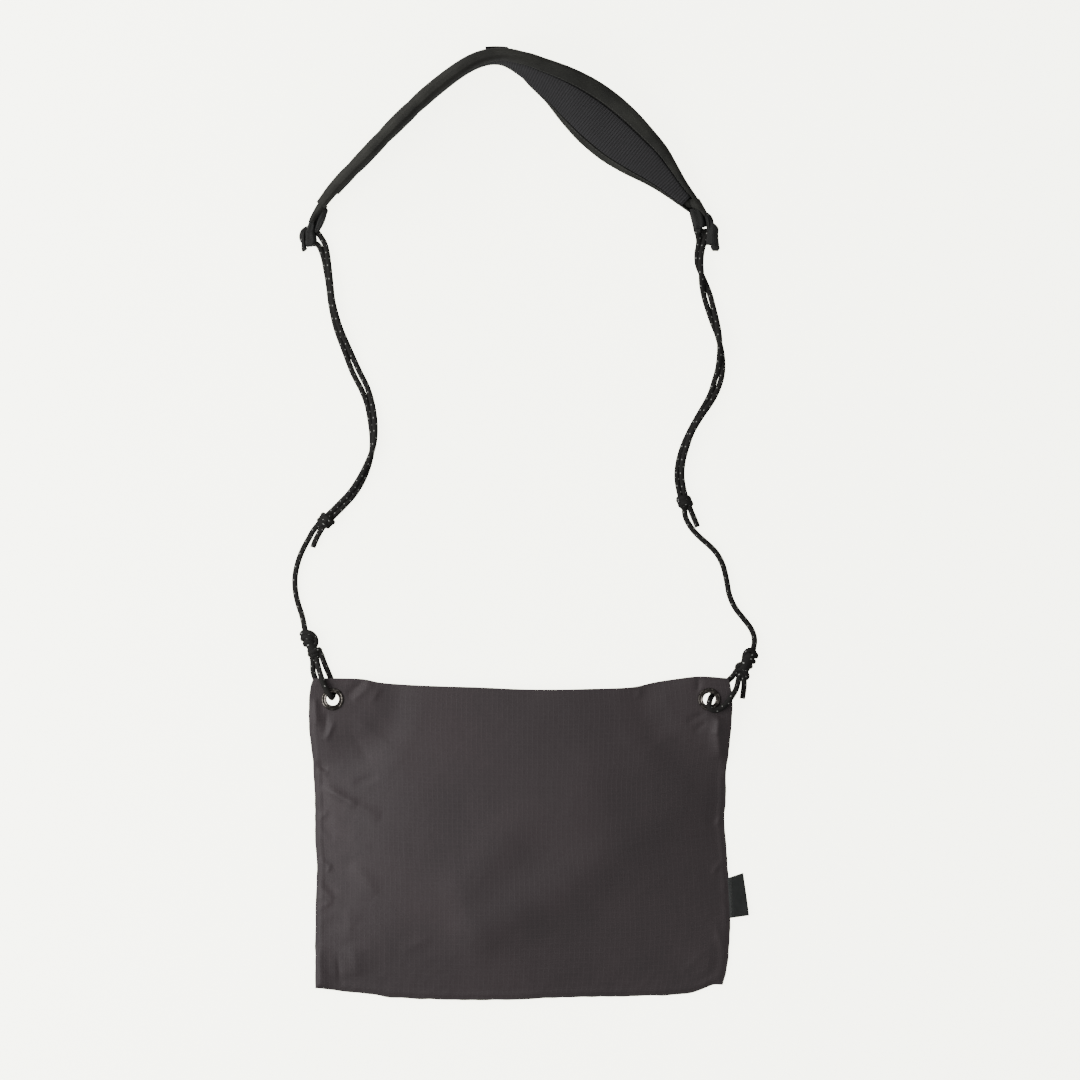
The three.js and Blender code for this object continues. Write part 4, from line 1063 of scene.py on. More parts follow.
def eyeletPiece(name, node, centre):
    bore, rim, t = eyelet["bore"], eyelet["flange"], eyelet["thick"]
    barrel = bore + eyelet["wall"]
    under = sack["lift"] - sack["gap"]
    over = sack["lift"] + 2 * sack["wall"] + 2 * sack["gap"]
    profile = [
        (bore, under - 0.5 * t), (bore + 0.0005, under - t), (rim - 0.0006, under - t),
        (rim, under - 0.4 * t), (rim - 0.0002, under), (barrel, under), (barrel, over),
        (rim - 0.0002, over), (rim + 0.00005, over + 0.3 * t), (rim - 0.0003, over + 0.8 * t),
        (rim - 0.0009, over + t), (rim - 0.0014, over + 0.86 * t), (barrel + 0.0011, over + 0.6 * t),
        (barrel + 0.0007, over + 0.78 * t), (barrel + 0.0003, over + 1.05 * t),
        (barrel - 0.0002, over + 1.1 * t), (bore + 0.0001, over + 0.9 * t), (bore, over + 0.4 * t),
    ]
    count = eyelet["segments"]
    points = np.array([
        (centre[0] + r * math.cos(a), centre[1] + r * math.sin(a), z)
        for a in np.arange(count) / count * 2 * math.pi for r, z in profile
    ])
    sides = len(profile)
    faces = []
    for i in range(count):
        for j in range(sides):
            a, b = i * sides + j, i * sides + (j + 1) % sides
            c, d = ((i + 1) % count) * sides + (j + 1) % sides, ((i + 1) % count) * sides + j
            faces.append((a, b, c, d))
    piece = makePiece(name, points, faces, [[(0, 0)] * 4] * len(faces), gunmetal)
    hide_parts(node)
    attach(piece, "root")


eyeletPiece("leftEyelet", "eyelet_left", eyeletPlaces[0])
eyeletPiece("rightEyelet", "eyelet_right", eyeletPlaces[1])
print("eyelets made")


# Stitches: short threads laid along a line, made by one geometry tree


def stitchTree():
    tree = bpy.data.node_groups.new("stitchRow", "GeometryNodeTree")
    sockets = {}
    for name, kind in (
        ("Line", "NodeSocketGeometry"), ("Spacing", "NodeSocketFloat"),
        ("Stitch Length", "NodeSocketFloat"), ("Thread Radius", "NodeSocketFloat"),
        ("Slant", "NodeSocketFloat"), ("Seed", "NodeSocketInt"), ("Thread", "NodeSocketMaterial"),
    ):
        sockets[name] = tree.interface.new_socket(name=name, in_out="INPUT", socket_type=kind)
    tree.interface.new_socket(name="Stitches", in_out="OUTPUT", socket_type="NodeSocketGeometry")
    given = tree.nodes.new("NodeGroupInput").outputs
    line = wire(tree, "GeometryNodeMeshToCurve", Mesh=given["Line"]).outputs[0]
    spots = wire(
        tree, "GeometryNodeCurveToPoints", {"mode": "LENGTH"}, Curve=line, Length=given["Spacing"]
    )
    turn = wire(
        tree, "FunctionNodeAlignRotationToVector", {"axis": "Z"}, Vector=spots.outputs["Tangent"]
    )
    random = wire(tree, "FunctionNodeRandomValue", {"data_type": "FLOAT"}, Seed=given["Seed"])
    # shortest and longest stitch, as shares of the length
    random.inputs[2].default_value = 0.9
    random.inputs[3].default_value = 1.1
    half = maths(tree, "MULTIPLY", given["Stitch Length"], 0.5)
    varied = maths(tree, "MULTIPLY", half, random.outputs[1])
    size = wire(
        tree, "ShaderNodeCombineXYZ", X=given["Thread Radius"], Y=given["Thread Radius"], Z=varied
    )
    tilt = wire(tree, "ShaderNodeCombineXYZ", X=given["Slant"])
    slanted = wire(
        tree, "FunctionNodeRotateRotation", {"rotation_space": "LOCAL"}, Rotation=turn.outputs[0]
    )
    tree.links.new(tilt.outputs[0], slanted.inputs[1])
    bead = wire(tree, "GeometryNodeMeshUVSphere", Segments=8, Rings=6, Radius=1.0)
    placed = wire(
        tree, "GeometryNodeInstanceOnPoints", Points=spots.outputs["Points"],
        Instance=bead.outputs[0], Rotation=slanted.outputs[0], Scale=size.outputs[0],
    )
    real = wire(tree, "GeometryNodeRealizeInstances", Geometry=placed.outputs[0])
    soft = wire(tree, "GeometryNodeSetShadeSmooth", Geometry=real.outputs[0])
    dressed = wire(
        tree, "GeometryNodeSetMaterial", Geometry=soft.outputs[0], Material=given["Thread"]
    )
    end = tree.nodes.new("NodeGroupOutput")
    tree.links.new(dressed.outputs[0], end.inputs[0])
    return tree, {name: socket.identifier for name, socket in sockets.items()}


stitchRows, stitchSockets = stitchTree()
tabStitch = {"Spacing": 0.0027, "Stitch Length": 0.0021, "Thread Radius": 0.00016}
padStitch = {"Spacing": 0.0032, "Stitch Length": 0.0025, "Thread Radius": 0.00018}


def stitchPiece(name, lines, sizes):
    points, edges = [], []
    for line in lines:
        start = len(points)
        points += [tuple(p) for p in line]
        edges += [(i, i + 1) for i in range(start, len(points) - 1)]
    mesh = bpy.data.meshes.new(name + "Line")
    mesh.from_pydata(points, edges, [])
    carrier = bpy.data.objects.new(name + "Line", mesh)
    scene.collection.objects.link(carrier)
    modifier = carrier.modifiers.new("stitches", "NODES")
    modifier.node_group = stitchRows
    for key, value in {**sizes, "Slant": 0.0, "Seed": 4, "Thread": thread}.items():
        modifier[stitchSockets[key]] = value
    result = applied(carrier)
    bpy.data.objects.remove(carrier)
    result.name = name
    piece = bpy.data.objects.new(name, result)
    scene.collection.objects.link(piece)
    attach(piece, "root")
    return piece


# Side tab: a ribbon folded back on itself, sewn into the side seam

tab = {
    "length": 0.0145, "width": 0.032, "drop": 0.1762, "slope": 0.2275, "fan": 0.145, "taper": 0.2,
    "wall": 0.0007, "sewnIn": 0.0015, "low": 0.00045, "top": 0.00195, "sagLow": 0.00012,
    "sagTop": 0.0001, "ripple": 0.00012, "rippleScale": 420, "pressed": 0.45, "pressReach": 0.003,
    "floor": 0.00005, "stations": 40,
}
tabSeam = {"out": 0.0022, "up": 0.0007, "level": 0.0024, "ends": 0.46}


def sideTab():
    loop = []
    low, top = tab["low"], tab["top"]
    bend = (top - low) / 2
    straight = tab["length"] - bend
    for t in np.linspace(0, 1, 10):
        loop.append((t * straight, low + tab["sagLow"] * math.sin(3 * t)))
    for a in np.linspace(-math.pi / 2, math.pi / 2, 9)[1:-1]:
        loop.append((straight + bend * math.cos(a), (top + low) / 2 + bend * math.sin(a)))
    for t in np.linspace(1, 0, 10):
        loop.append((t * straight, top - tab["sagTop"] * math.sin(3 * t)))
    loop = np.array(loop)
    ways = unit(np.gradient(loop, axis=0))
    normals = np.column_stack([-ways[:, 1], ways[:, 0]])
    half = tab["wall"] / 2
    section = np.vstack([loop + normals * half, (loop - normals * half)[::-1]])
    section[:, 1] = np.maximum(section[:, 1], tab["floor"])
    rings = []
    stations = np.linspace(-0.5, 0.5, tab["stations"])
    for s in stations:
        along = s * tab["width"]
        edge = sackPlace(np.array([1.0]), np.array([1 - (tab["drop"] - along) / sack["height"]]))[0][0]
        ring = []
        for out, z in section:
            ripple = tab["ripple"] * math.sin(along * tab["rippleScale"]) * out / tab["length"]
            x = edge - tab["sewnIn"] + out * (1 - tab["taper"] * s)
            y = sack["top"] - tab["drop"] + along + out * (tab["slope"] + tab["fan"] * s)
            apart = tab["pressed"] + (1 - tab["pressed"]) * smoothStep(out / tab["pressReach"])
            ring.append((x, y, z * apart + ripple))
        rings.append(ring)
    run = runLength(np.vstack([section, section[:1]]))
    piece = makePiece("sideTab", *ringBody(rings, run, stations * tab["width"]), ribbon)
    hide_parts("side_tab")
    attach(piece, "root")
    middle = sack["top"] - tab["drop"] + tabSeam["up"]
    line = [
        (edge + tabSeam["out"], middle + s * tab["width"], tabSeam["level"])
        for s in (-tabSeam["ends"], tabSeam["ends"])
    ]
    stitchPiece("tabStitches", [line], tabStitch)


sideTab()
print("side tab made")


# Shoulder pad: frames along it, then the swollen body, the mesh panel, the bound edges and seams

padSize = {
    "span": 0.299, "rise": 0.12, "breadth": 0.048, "thickness": 0.009, "centre": -0.0106,
    "base": 0.505, "meshUpper": 0.54, "meshLower": -0.74, "meshGap": 0.0003, "meshThick": 0.0013,
    "voxel": 0.004, "pressure": 4.0, "cap": 0.0007, "quality": 6, "steps": 20,
    "inset": 0.0012, "frames": 170, "ring": 36, "girth": 0.1,
    "edgePower": 5, "crownPower": 1 / 2.4, "roundness": 0.62,
    "pinches": (-0.0856, -0.1096, -0.1344), "pinch": 0.09, "pinchWidth": 0.003,
}
# Across and up as shares, breadth and thickness as shares, and how far it leans over in degrees
padSections = [
    (-0.5, 0.007, 0.25, 0.85, -2), (-0.4555, 0.14, 0.5, 1.05, -3), (-0.38, 0.331, 0.86, 1.16, -4),
    (-0.2805, 0.585, 1, 1.27, -4), (-0.1865, 0.796, 1, 1.28, -4), (-0.096, 0.95, 1, 1.2, -3),
    (-0.022, 0.989, 1, 1.1, 1), (0.045, 0.9325, 1, 1, 14), (0.0875, 0.87, 1, 1, 25),
    (0.141, 0.787, 1.03, 1, 38), (0.198, 0.677, 1.05, 1, 55), (0.249, 0.569, 1.05, 1, 67),
    (0.296, 0.468, 1.01, 1, 71), (0.339, 0.38, 0.9, 1, 73), (0.382, 0.293, 0.75, 0.97, 74),
    (0.419, 0.203, 0.56, 0.9, 74), (0.453, 0.114, 0.4, 0.8, 74), (0.5, -0.004, 0.24, 0.7, 74),
]
# Corners of the solid's section, to find where it touches the surface
padSection = [
    (1, -0.4), (1, 0.4), (0.83, 0.86), (0.54, 1), (-0.1, 1), (-0.74, 1), (-0.93, 0.8),
    (-1, 0.35), (-1, -0.4), (-0.86, -0.9), (0, -1), (0.86, -0.9),
]


def padFrames(count):
    last = len(padSections) - 1

    def column(index, t):
        return float(between([(i, row[index]) for i, row in enumerate(padSections)], np.array([t]))[0])

    def place(t):
        t = min(last, max(0, t))
        return np.array([
            padSize["centre"] + column(0, t) * padSize["span"],
            padSize["base"] + column(1, t) * padSize["rise"], 0.0,
        ])

    def pinched(x):
        near = sum(
            math.exp(-(((x - spot) / padSize["pinchWidth"]) ** 2)) for spot in padSize["pinches"]
        )
        return 1 - padSize["pinch"] * near

    frames = []
    for k in range(count + 1):
        t = k / count * last
        way = unit(place(t + 0.2) - place(t - 0.2))
        outwards = np.array([-way[1], way[0], 0.0])
        lean = math.radians(column(4, t))
        up = np.array([0.0, 0.0, 1.0])
        row = {
            "centre": place(t), "breadth": column(2, t) * padSize["breadth"],
            "thickness": column(3, t) * padSize["thickness"] * pinched(place(t)[0]),
            "edgeWay": up * math.cos(lean) + outwards * math.sin(lean),
            "innerWay": up * math.sin(lean) - outwards * math.cos(lean),
        }
        lowest = min(
            padPoint(row, e * row["breadth"] / 2, d * row["thickness"] / 2)[2] for e, d in padSection
        )
        row["centre"] = row["centre"] - np.array([0, 0, lowest])
        frames.append(row)
    return frames


def padPoint(row, edge, depth):
    return row["centre"] + row["edgeWay"] * edge + row["innerWay"] * depth


pad = padFrames(padSize["frames"])
padRun = runLength(np.array([row["centre"] for row in pad]))


def padDepth(row, edge, inset=0.0):
    share = min(1.0, abs(edge) / (row["breadth"] / 2 - inset))
    return (row["thickness"] / 2 - inset) * (1 - share ** padSize["edgePower"]) ** padSize["crownPower"]


def padBody():
    rings = []
    sides = padSize["ring"]
    for row in pad:
        half = row["breadth"] / 2 - padSize["inset"]
        ring = []
        for a in np.arange(sides) / sides * 2 * math.pi:
            edge = half * math.copysign(abs(math.cos(a)) ** padSize["roundness"], math.cos(a))
            depth = padDepth(row, edge, padSize["inset"]) * (1 if math.sin(a) >= 0 else -1)
            if abs(math.sin(a)) < 1e-6:
                depth = 0.0
            ring.append(padPoint(row, edge, depth))
        rings.append(ring)
    around = np.arange(sides + 1) / sides * padSize["girth"]
    return makePiece("padBody", *ringBody(rings, around, padRun), padCloth)


def coordinates(mesh):
    flat = np.empty(len(mesh.vertices) * 3)
    mesh.vertices.foreach_get("co", flat)
    return flat.reshape(-1, 3)


# Cloth with pressure swells the body, each point moving no further than the cap
def swell(piece, voxel, pressure, cap):
    remesh = piece.modifiers.new("remesh", "REMESH")
    remesh.mode = "VOXEL"
    remesh.voxel_size = voxel
    piece.data = applied(piece)
    piece.modifiers.clear()
    rest = coordinates(piece.data)
    cloth = piece.modifiers.new("cloth", "CLOTH")
    cloth.settings.use_pressure = True
    cloth.settings.uniform_pressure_force = pressure
    cloth.settings.effector_weights.gravity = 0
    cloth.settings.quality = padSize["quality"]
    for step in range(1, padSize["steps"] + 1):
        scene.frame_set(step)
    moved = coordinates(applied(piece)) - rest
    piece.modifiers.clear()
    scene.frame_set(1)
    size = np.linalg.norm(moved, axis=1, keepdims=True)
    rest = rest + moved * np.minimum(1, cap / np.maximum(size, 1e-9))
    piece.data.vertices.foreach_set("co", rest.ravel())
    smooth = piece.modifiers.new("smooth", "SUBSURF")
    smooth.levels = smooth.render_levels = 1
    piece.data = applied(piece)
    piece.modifiers.clear()
    piece.data.polygons.foreach_set("use_smooth", [True] * len(piece.data.polygons))
    piece.data.name = piece.name
    piece.data.materials.clear()
    piece.data.materials.append(padCloth)


body = padBody()
swell(body, padSize["voxel"], padSize["pressure"], padSize["cap"])
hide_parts("shoulder_pad")
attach(body, "root")
print("pad body swollen")


meshSize = {
    "rows": slice(8, -4), "count": 22, "sink": 0.0004, "over": 0.0003, "under": 0.0009,
    "crown": 3.2, "crownPower": 0.7, "quilt": 0.00022, "quiltScale": 60,
}


def meshPanel():
    rings = []
    count = meshSize["count"]
    for row in pad[meshSize["rows"]]:
        half = row["breadth"] / 2
        upper, lower = padSize["meshUpper"] * half, padSize["meshLower"] * half
        seat = row["thickness"] / 2 + padSize["meshGap"]
        ring = []
        for i in range(count + 1):
            s = i / count
            edge = upper + (lower - upper) * s
            crown = (1 - abs(2 * s - 1) ** meshSize["crown"]) ** meshSize["crownPower"]
            spot = Vector(padPoint(row, edge, 0) * meshSize["quiltScale"])
            thick = padSize["meshThick"] + meshSize["over"] + meshSize["quilt"] * noise.noise(spot)
            ring.append(padPoint(row, edge, seat - meshSize["sink"] + crown * thick))
        for i in range(count, -1, -4):
            s = i / count
            edge = upper + (lower - upper) * s
            ring.append(padPoint(row, edge, seat - meshSize["under"]))
        rings.append(ring)
    sides = len(rings[0])
    width = padSize["breadth"] * (padSize["meshUpper"] - padSize["meshLower"]) / 2
    across = [min(j / count, 2 - j / count) * width for j in range(sides + 1)]
    run = padRun[meshSize["rows"]]
    piece = makePiece("padMesh", *ringBody(rings, across, run), airMesh)
    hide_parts("pad_mesh_panel")
    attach(piece, "root")


meshPanel()
print("mesh panel made")

edging = {
    "thick": 0.0009, "proud": 0.0005, "outerReach": 0.0085, "meshGap": 0.0006, "edgeOut": 0.0001,
    "edgeRound": 0.0004, "turn": 0.22, "rim": 0.97, "threadLift": 0.00005, "yarnStep": 0.0014,
    "outerShare": 0.7,
}


# The cloth that is turned over one long edge: from the mesh panel round to the outer face
def boundEdge(name, sign, innerShare):
    rings = []
    for row in pad:
        half = row["breadth"] / 2
        start = abs(innerShare) * half + edging["meshGap"]
        reach = min(edging["outerReach"], half * edging["outerShare"])
        spots = []
        for s in np.linspace(0, 1, 9):
            edge = start + (half - start) * s * edging["rim"]
            spots.append((edge, padDepth(row, edge) + edging["proud"]))
        for a in np.linspace(math.pi / 3, -math.pi / 3, 7):
            out = half + edging["edgeOut"] + edging["edgeRound"] * math.cos(a)
            spots.append((out, row["thickness"] * edging["turn"] * math.sin(a)))
        for s in np.linspace(0, 1, 8):
            edge = half * edging["rim"] - reach * s
            spots.append((edge, -(padDepth(row, edge) + edging["proud"])))
        spots = np.array(spots)
        ways = unit(np.gradient(spots, axis=0))
        normals = np.column_stack([-ways[:, 1], ways[:, 0]])
        inner = spots - normals * edging["thick"]
        section = np.vstack([spots, inner[::-1]])
        rings.append([padPoint(row, sign * e, d) for e, d in section])
    sides = len(rings[0])
    across = [min(j, sides - j) * edging["yarnStep"] for j in range(sides + 1)]
    piece = makePiece(name, *ringBody(rings, across, padRun), padCloth)
    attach(piece, "root")


boundEdge("padUpperEdge", 1, padSize["meshUpper"])
boundEdge("padLowerEdge", -1, padSize["meshLower"])


# A line of thread along the pad, on its inner face with face 1, on its outer one with face -1
def padLine(rows, share, face):
    line = []
    for row in rows:
        edge = share * row["breadth"] / 2
        depth = padDepth(row, edge) + edging["proud"] + edging["threadLift"]
        line.append(padPoint(row, edge, face * depth))
    return line


padSeams = {
    "padInnerStitches": {"rows": slice(8, -6), "shares": (0.6, -0.8), "face": 1},
    "padOuterStitches": {"rows": slice(14, -14), "shares": (0.72, -0.72), "face": -1},
}
for name, seam in padSeams.items():
    lines = [padLine(pad[seam["rows"]], share, seam["face"]) for share in seam["shares"]]
    stitchPiece(name, lines, padStitch)
print("pad edges and stitches made")

label = {
    "length": 0.018, "breadth": 0.026, "thick": 0.0009, "seat": 0.0003, "bow": 0.0005, "stations": 16,
}
# Round the section: edge and depth as shares of half the breadth and of the thickness
labelSection = [
    (1, 0), (1, -1), (0.94, -1.12), (0, -1.2), (-0.94, -1.12), (-1, -1), (-1, 0), (0, 0),
]
labelAcross = [0, 0.001, 0.002, 0.014, 0.026, 0.027, 0.028, 0.014, 0]  # ribbon's place round it


def padLabel():
    row = max(pad, key=lambda r: r["centre"][1])
    seat = -(row["thickness"] / 2 + label["seat"])
    along = np.cross(row["innerWay"], row["edgeWay"])
    rings = []
    stations = np.linspace(-1, 1, label["stations"])
    for s in stations:
        bow = label["bow"] * (1 - s * s)
        ring = []
        for edge, depth in labelSection:
            place = padPoint(row, edge * label["breadth"] / 2, seat - bow + depth * label["thick"])
            ring.append(place + along * s * label["length"] / 2)
        rings.append(ring)
    run = stations * label["length"] / 2
    piece = makePiece("padLabel", *ringBody(rings, labelAcross, run), ribbon)
    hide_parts("pad_label")
    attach(piece, "root")


padLabel()
print("pad label made")


# Webbing at the pad's ends: crushed folds over the cord's turn, and the pad's own narrow tails.
# Rows: left and right edge, then the height of the edges and of the crown.

web = {
    "cloth": 0.0012, "crown": 3.2, "crush": 0.0005, "crushAcross": 1.4, "crushAlong": 210,
    "full": 1.06, "step": 0.0008, "over": 22, "under": 9, "hemShare": 0.97, "floor": 0.0001,
    "ribs": 0.00022, "tailRibs": 0.0003, "ribsAcross": 7, "ribsAlong": 90, "flatness": 0.8,
    "seed": 1.3, "tailSeed": 0.7,
}
tails = {
    "leftPadTail": [
        (-0.1613, 0.5096, -0.1547, 0.5051, 0.0003, 0.0105),
        (-0.1638, 0.5054, -0.1576, 0.5019, 0.0003, 0.01),
        (-0.1666, 0.5005, -0.1606, 0.4981, 0.0003, 0.009),
        (-0.1688, 0.496, -0.1634, 0.4944, 0.0003, 0.008),
        (-0.1699, 0.4933, -0.165, 0.492, 0.0003, 0.007),
    ],
    "rightPadTail": [
        (0.1339, 0.5109, 0.1427, 0.5112, 0.0003, 0.009),
        (0.1362, 0.5048, 0.1461, 0.5051, 0.0003, 0.0078),
        (0.1412, 0.5008, 0.1488, 0.5003, 0.0003, 0.0062),
        (0.1443, 0.4973, 0.1506, 0.4963, 0.0003, 0.0052),
    ],
}
legs = {
    "leftLegs": [
        ("hollow", [
            (-0.1636, 0.5002, -0.1588, 0.4987, 0.0003, 0.0026),
            (-0.1668, 0.4936, -0.1594, 0.4914, 0.0003, 0.003),
            (-0.1692, 0.488, -0.1618, 0.4862, 0.0003, 0.0034),
            (-0.1706, 0.4832, -0.1634, 0.4826, 0.0003, 0.004),
        ]),
        ("hollow", [
            (-0.159, 0.505, -0.1555, 0.5043, 0.0003, 0.005),
            (-0.1598, 0.5027, -0.1544, 0.5021, 0.0003, 0.0068),
            (-0.161, 0.4995, -0.1555, 0.4986, 0.0003, 0.007),
            (-0.1622, 0.4957, -0.1566, 0.4946, 0.0003, 0.007),
            (-0.1635, 0.4917, -0.1584, 0.4904, 0.0003, 0.0072),
            (-0.1646, 0.4875, -0.1606, 0.4866, 0.0003, 0.0074),
            (-0.1653, 0.4843, -0.1626, 0.4837, 0.0003, 0.0072),
        ]),
        ("hollow", [
            (-0.1694, 0.4939, -0.1645, 0.493, 0.0004, 0.0056),
            (-0.1704, 0.4904, -0.1646, 0.4899, 0.0004, 0.0064),
            (-0.1717, 0.4869, -0.1648, 0.4866, 0.0004, 0.0072),
            (-0.1728, 0.4843, -0.1646, 0.4842, 0.0004, 0.0078),
        ]),
        ("hollow", [
            (-0.1725, 0.4861, -0.1659, 0.4864, 0.0003, 0.0066),
            (-0.173, 0.4837, -0.1646, 0.4838, 0.0003, 0.0084),
            (-0.1731, 0.4808, -0.1637, 0.4805, 0.0003, 0.0086),
            (-0.173, 0.4784, -0.1634, 0.4781, 0.0003, 0.0078),
            (-0.1728, 0.4757, -0.1638, 0.4758, 0.0003, 0.0084),
            (-0.172, 0.4736, -0.1654, 0.4741, 0.0003, 0.0076),
            (-0.1707, 0.4725, -0.1674, 0.4728, 0.0003, 0.005),
        ]),
        ("solid", [
            (-0.1739, 0.4862, -0.172, 0.4864, 0.0006, 0.004),
            (-0.1758, 0.4843, -0.172, 0.4843, 0.0003, 0.0074),
            (-0.1765, 0.4813, -0.1723, 0.481, 0.0003, 0.0082),
            (-0.1758, 0.4782, -0.1726, 0.4781, 0.0003, 0.0068),
            (-0.1756, 0.4752, -0.1726, 0.4752, 0.0003, 0.0064),
            (-0.1756, 0.472, -0.1717, 0.4725, 0.0003, 0.0062),
            (-0.1752, 0.4698, -0.171, 0.4712, 0.0004, 0.005),
            (-0.1744, 0.4688, -0.1728, 0.4693, 0.0008, 0.003),
        ]),
    ],
    "rightLegs": [
        ("hollow", [
            (0.1386, 0.4986, 0.15, 0.498, 0.0003, 0.0026),
            (0.139, 0.493, 0.1502, 0.4926, 0.0003, 0.003),
            (0.1395, 0.4886, 0.1502, 0.4888, 0.0003, 0.003),
        ]),
        ("hollow", [
            (0.1412, 0.4876, 0.1496, 0.4874, 0.0003, 0.003),
            (0.1424, 0.4824, 0.1486, 0.4826, 0.0003, 0.0028),
            (0.143, 0.4784, 0.1478, 0.4786, 0.0003, 0.0022),
            (0.1434, 0.475, 0.1462, 0.475, 0.0003, 0.0018),
        ]),
        ("hollow", [
            (0.1345, 0.5031, 0.1436, 0.5026, 0.0003, 0.0066),
            (0.1353, 0.4984, 0.1456, 0.4976, 0.0003, 0.0074),
            (0.1366, 0.4936, 0.1472, 0.4933, 0.0003, 0.0078),
            (0.1375, 0.4899, 0.1472, 0.4896, 0.0003, 0.008),
            (0.1379, 0.4875, 0.1464, 0.4882, 0.0003, 0.0074),
        ]),
        ("hollow", [
            (0.1379, 0.4891, 0.1453, 0.488, 0.0003, 0.0062),
            (0.1394, 0.4853, 0.1443, 0.4862, 0.0003, 0.007),
            (0.1416, 0.4829, 0.1437, 0.484, 0.0003, 0.006),
        ]),
        ("solid", [
            (0.1461, 0.4987, 0.148, 0.4987, 0.0006, 0.0054),
            (0.147, 0.4952, 0.1501, 0.4955, 0.0003, 0.008),
            (0.148, 0.4915, 0.1509, 0.4917, 0.0003, 0.0084),
            (0.1485, 0.488, 0.1512, 0.488, 0.0003, 0.0082),
            (0.1483, 0.4848, 0.1504, 0.4848, 0.0004, 0.0064),
        ]),
        ("hollow", [
            (0.1469, 0.5003, 0.1504, 0.4974, 0.0003, 0.006),
            (0.1485, 0.4957, 0.1528, 0.4931, 0.0003, 0.0074),
            (0.1493, 0.4912, 0.1565, 0.4898, 0.0003, 0.0082),
            (0.1493, 0.4869, 0.1579, 0.4872, 0.0003, 0.0086),
            (0.1485, 0.4824, 0.1576, 0.4824, 0.0003, 0.0082),
            (0.148, 0.4784, 0.1579, 0.4781, 0.0003, 0.0076),
            (0.1478, 0.4749, 0.1583, 0.4746, 0.0003, 0.007),
        ]),
        ("hollow", [
            (0.1482, 0.4776, 0.1534, 0.4768, 0.0003, 0.006),
            (0.1478, 0.4742, 0.1528, 0.4738, 0.0003, 0.005),
        ]),
        ("hollow", [
            (0.1515, 0.4779, 0.1578, 0.4781, 0.0003, 0.0064),
            (0.1517, 0.4741, 0.1584, 0.4741, 0.0003, 0.006),
            (0.1522, 0.4714, 0.1589, 0.4715, 0.0003, 0.0054),
            (0.1536, 0.4694, 0.1574, 0.4693, 0.0003, 0.0038),
        ]),
    ],
}


def foldBody(rows, kind, seed, ribs):
    middles = [((row[0] + row[2]) / 2, (row[1] + row[3]) / 2, 0, *row) for row in rows]
    path = curveThrough(middles, web["step"])
    run = runLength(path)
    rings = []
    for i, row in enumerate(path):
        left, right = np.array([row[3], row[4]]), np.array([row[5], row[6]])
        low, high = row[7], row[8]
        ring = []
        for s in np.linspace(-1, 1, web["over"] + 1):
            out = web["full"] * math.copysign(abs(s) ** web["flatness"], s)
            place = (left + right) / 2 + (right - left) / 2 * out
            arch = (1 - abs(s) ** web["crown"]) ** 0.5
            spot = Vector((s * web["crushAcross"] + seed, run[i] * web["crushAlong"], seed))
            crush = web["crush"] * noise.noise(spot)
            crease = ribs * math.sin(s * web["ribsAcross"] + seed + run[i] * web["ribsAlong"])
            ring.append((place[0], place[1], low + (high - low) * arch + (crush + crease) * arch))
        under = []
        for s in np.linspace(0.94, -0.94, web["under"]):
            place = (left + right) / 2 + (right - left) / 2 * s * web["hemShare"]
            arch = (1 - abs(s) ** web["crown"]) ** 0.5
            z = low + (high - low) * arch - web["cloth"] if kind == "hollow" else low
            under.append((place[0], place[1], max(z, low - 2 * web["floor"], web["floor"])))
        rings.append(ring + under)
    sides = len(rings[0])
    width = float(np.linalg.norm(path[0][3:5] - path[0][5:7]))
    over = [min(j, sides - j) / (sides / 2) * width for j in range(sides + 1)]
    return ringBody(rings, over, run)


def foldPiece(name, node, bodies, material):
    piece = makePiece(name, *joined(bodies), material)
    if node:
        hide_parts(node)
    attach(piece, "root")


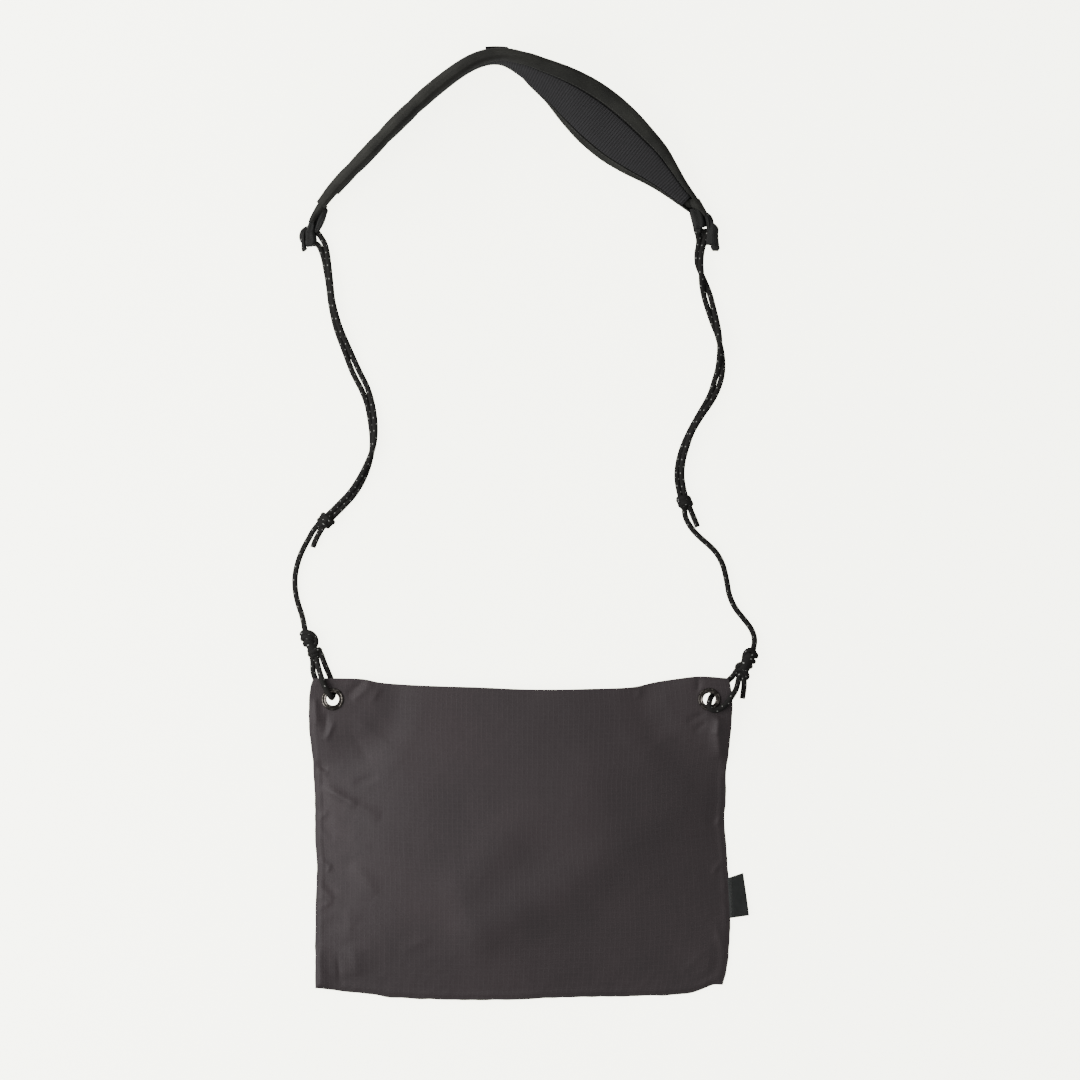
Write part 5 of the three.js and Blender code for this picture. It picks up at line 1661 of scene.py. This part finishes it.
for side in ("left", "right"):
    folded = [
        foldBody(rows, kind, web["seed"] + i, web["ribs"])
        for i, (kind, rows) in enumerate(legs[side + "Legs"])
    ]
    foldPiece(side + "Webbing", "webbing_loop_" + side, folded, webbing)
    tail = foldBody(tails[side + "PadTail"], "solid", web["tailSeed"], web["tailRibs"])
    foldPiece(side + "PadTail", None, [tail], padCloth)
print("webbing made")


# Floor and light

studio = {"floor": "f0f1e2", "glow": 6.1, "size": 12, "middle": (0, 0.25), "level": -0.0004, "world": 0.45}
# Each soft box: where it stands, what it points at, its size and its power
lights = {
    "keyLight": [(-1.0, 0.0, 0.75), (0.0, 0.05, 0.0), (1.0, 0.9), 19],
    "fillLight": [(1.6, -0.2, 1.6), (0.0, 0.25, 0.0), (1.8, 1.4), 3.5],
    "topLight": [(0.1, 1.5, 1.8), (0.0, 0.25, 0.0), (1.2, 1.2), 2.4],
    "sideLight": [(-0.9, 1.15, 0.55), (-0.06, 0.56, 0.03), (0.6, 0.4), 9],
}


def makeFloor():
    place = (*studio["middle"], studio["level"])
    bpy.ops.mesh.primitive_plane_add(size=studio["size"], location=place)
    floor = bpy.context.object
    floor.name = "floor"
    material, tree, shader = newMaterial("paleFloor", Roughness=0.9)
    shader.inputs["Specular IOR Level"].default_value = 0.1
    colour = (*tint(studio["floor"]), 1)
    shader.inputs["Base Color"].default_value = colour
    shader.inputs["Emission Color"].default_value = colour
    shader.inputs["Emission Strength"].default_value = studio["glow"]
    floor.data.materials.append(material)
    floor.visible_diffuse = False  # the pale floor is seen, but throws no light up on the bag
    floor.visible_glossy = False


def softBox(name, place, target, size, power):
    lamp = bpy.data.lights.new(name, "AREA")
    lamp.shape = "RECTANGLE"
    lamp.size, lamp.size_y = size
    lamp.energy = power
    box = bpy.data.objects.new(name, lamp)
    box.location = place
    box.rotation_euler = (Vector(target) - Vector(place)).to_track_quat("-Z", "Y").to_euler()
    scene.collection.objects.link(box)


makeFloor()
for name, light in lights.items():
    softBox(name, *light)
world = bpy.data.worlds.new("studio")
world.use_nodes = True
sky = world.node_tree.nodes["Background"]
sky.inputs["Color"].default_value = (1, 1, 1, 1)
sky.inputs["Strength"].default_value = studio["world"]
scene.world = world
print("floor and light placed")
